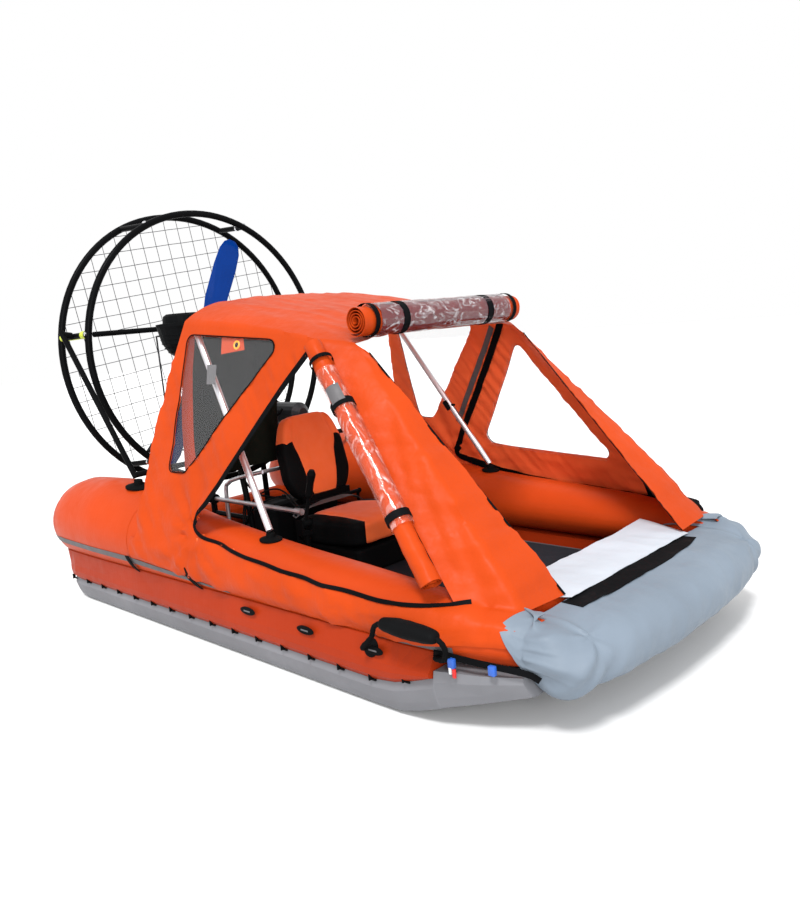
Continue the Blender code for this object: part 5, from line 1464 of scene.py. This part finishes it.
def net():
    """A square net on the rear ring, a little turned and a little slack."""
    reach = REAR_RING[1] - 0.006
    turn = Matrix.Rotation(math.radians(7.0), 3, "X")

    def at(a, b):
        slack = 0.012 * max(0.0, 1 - (a * a + b * b) / reach**2)
        sway = 0.0016 * noise.noise(Vector((a * 9, b * 9, 1.0)))
        return turn @ Vector((REAR_RING[0] - slack, a + sway, b - sway))

    meshes = []
    for offset in (NET_PITCH * (k + 0.5) for k in range(-NET_CORDS // 2, NET_CORDS // 2)):
        half = math.sqrt(reach**2 - offset**2)
        shares = [half * (2 * i / 24 - 1) for i in range(25)]
        meshes.append(pipe([at(offset, s) for s in shares], NET_CORD_RADIUS, 5))
        meshes.append(pipe([at(s, offset) for s in shares], NET_CORD_RADIUS, 5))
    for mesh in meshes:
        mesh.transform(POWER)
    piece("cage_net_cord", meshes, "net", smooth=80, stands_for=("cage_net",))


# Air rudder
def air_rudder():
    """The rudder's sleeve and frame in black, round a clear pane."""
    post_x, low, high, chord = -1.430, 0.620, 1.330, 0.260
    sleeve = ((low, 0.021), (high, 0.021), (high, 0.016), (low, 0.016))
    rings = [ring_at(Vector((post_x, 0, z)), *basis(UP), r, 20) for z, r in sleeve]
    front, back = post_x - 0.020, post_x - chord + 0.006
    foot, top = low + 0.010, high - 0.010
    route = [(front, 0, foot), (back, 0, foot), (back, 0, top), (front, 0, top)]
    parts = [loft(rings, caps=False, around=True), pipe(along_line(route), 0.0050, 8)]
    piece("air_rudder_frame", parts, "black_plastic", body="rudder", smooth=60, stands_for=("air_rudder",))

    def point(s, t):
        return Vector((post_x - 0.021 - (chord - 0.029) * s, 0.0010, low + 0.012 + (high - low - 0.024) * t))

    pane = thick_mesh(surface_of(12, 24, point), 0.0020)
    piece("air_rudder_pane", pane, [look("clear_film", FILM_ALPHA)], body="rudder")


# Engine
def engine_parts():
    foot = ((0, 0.010), (0.007, 0.010), (0.0075, 0.006), (0.013, 0.006))
    head = ((0, 0.006), (0.005, 0.006))
    bolts = []
    for x in (-1.026, -0.714):
        bolts += [turned((x, y, 0.7160), UP, foot, 6) for y in (-0.185, -0.110, 0.110, 0.185)]
    flanges = [(-0.7402, y, z) for z in (0.760, 0.890) for y in (-0.110, 0.110)]
    bolts += [turned(start, FORWARD, ((0, 0.009), (0.006, 0.009)), 6) for start in flanges]
    cup = ring_at(Vector((-0.7001, 0, 0.820)), TO_PORT, UP, 0.058, 5)
    bolts += [turned(start, FORWARD, head, 6) for start in cup]
    piece("engine_bolts", bolts, "bright_metal")
    starts = ring_at(Vector((-0.7000, 0, 0.820)), TO_PORT, UP, 0.032, 12)
    vents = [rod(start, start + FORWARD * 0.0024, 0.0055, 10) for start in starts]
    vents.append(pipe([(-0.700, 0.085, 0.845), (-0.688, 0.100, 0.862), (-0.684, 0.112, 0.878)], 0.007, 10))
    piece("starter_details", vents, "black_plastic")
    lead = (
        (-0.870, 0.0, 1.112),
        (-0.865, 0.0, 1.160),
        (-0.835, 0.030, 1.185),
        (-0.780, 0.080, 1.120),
        (-0.760, 0.100, 0.980),
        (-0.770, 0.090, 0.905),
    )
    fuel = (
        (-0.880, -0.112, 0.950),
        (-0.820, -0.200, 0.900),
        (-0.740, -0.215, 0.700),
        (-0.640, -0.180, 0.500),
        (-0.560, -0.120, 0.452),
        (-0.530, -0.060, 0.446),
    )
    plug = turned((-0.870, 0.0, 1.100), UP, ((0, 0.014), (0.040, 0.012), (0.046, 0.008)), 16)
    piece("engine_hoses", [hose(lead, 0.0045, 10), plug, hose(fuel, 0.0050, 10)], "black_rubber", smooth=70)
    cap = turned((-0.510, 0.060, 0.4402), UP, ((0, 0.040), (0.016, 0.040), (0.020, 0.034)), 28)
    neck = turned((-0.530, -0.060, 0.4402), UP, ((0, 0.012), (0.014, 0.010)), 16)
    piece("tank_cap", [cap, neck], "black_plastic")
    ribs = []
    for k, radius in enumerate((0.089, 0.105, 0.1155, 0.1195, 0.1235)):
        ribs.append(ring_tube((-0.893, -0.298, 1.232 + 0.022 * k), UP, radius, 0.0022, 48, 6))
    piece("air_box_ribs", ribs, "black_plastic", smooth=70)
    nuts = [turned(start, FORWARD, head, 6) for start in ring_at(FORWARD * -0.036, TO_PORT, UP, 0.030, 6)]
    for mesh in nuts:
        mesh.transform(POWER)
    piece("propeller_bolts", nuts, "bright_metal", body="propeller")


# Stage
FLOOR_SIZE = 60.0
FLOOR_DROP = 0.0005
FLOOR_TONES = ((0.0, (0.70, 0.70, 0.70, 1)), (1.0, (0.73, 0.73, 0.73, 1)))
# Columns of the lamps: name, direction to it, strength, softness in degrees.
LAMPS = (("key", (0.22, -0.42, 0.88), 2.8, 14.0), ("front", (0.78, -0.52, 0.34), 1.9, 26.0))


def stage():
    bpy.ops.mesh.primitive_plane_add(size=FLOOR_SIZE, location=(0, 0, -FLOOR_DROP))
    floor = bpy.context.object
    floor.name = "floor"
    ground, tree, shader = new_material("floor_white")
    shader.inputs["Roughness"].default_value = 0.85
    shader.inputs["Specular IOR Level"].default_value = 0.10
    grain = shader_node(tree, "TexNoise", {}, {"Scale": 0.8})
    tree.links.new(ramp_of(tree, grain.outputs["Fac"], FLOOR_TONES), shader.inputs["Base Color"])
    floor.data.materials.append(ground)
    world = bpy.data.worlds.new("studio")
    bpy.context.scene.world = world
    world.use_nodes = True
    backdrop = world.node_tree.nodes["Background"]
    backdrop.inputs["Color"].default_value = WHITE
    backdrop.inputs["Strength"].default_value = 1.0
    bpy.context.scene.view_settings.view_transform = "Standard"
    for name, toward, energy, softness in LAMPS:
        data = bpy.data.lights.new(name, "SUN")
        data.energy = energy
        data.angle = math.radians(softness)
        placed(name, data).rotation_euler = (-Vector(toward)).to_track_quat("-Z", "Y").to_euler()


def camera():
    """The photograph's camera: its turns in radians, and its focal length and frame height in pixels."""
    yaw, pitch, roll, focal, height = 0.7771, 0.1683, -0.0891, 827.34, 914
    back = Vector((math.sin(yaw) * math.cos(pitch), -math.cos(yaw) * math.cos(pitch), math.sin(pitch)))
    level = (-back).cross(UP).normalized()
    above = level.cross(-back)
    right, up = spoke(level, above, roll), spoke(above, -level, roll)
    data = bpy.data.cameras.new("camera")
    data.sensor_fit = "VERTICAL"
    data.sensor_height = 36
    data.lens = focal / height * data.sensor_height
    obj = placed("camera", data)
    turn = Matrix((right, up, back)).transposed().to_4x4()
    obj.matrix_world = Matrix.Translation((2.87, -2.6325, 1.3134)) @ turn
    bpy.context.scene.camera = obj


def carried_over():
    """Every CAD node takes the finish of its slot in the record, but the side skirts take a darker orange:
    painted shade from the tubes above them.
    """
    for part in frame["record"]["subparts"]:
        name, slot = part["node"], part["material_slot"]
        finish = look("clear_film", FILM_ALPHA) if slot == "clear_film" else look(slot)
        # The side skirts get the hull's orange darkened as painted shade.
        if name.startswith("side_skirt"):
            finish = look("orange_skirt_painted_shade")
        materials = frame["nodes"][name].data.materials
        materials.clear()
        materials.append(finish)


def main():
    carried_over()
    canopy()
    windscreen_roll()
    door_roll()
    hull()
    handles()
    bow_cover()
    bow_flap()
    seat()
    cabin_parts()
    cage()
    air_rudder()
    engine_parts()
    camera()
    stage()


main()
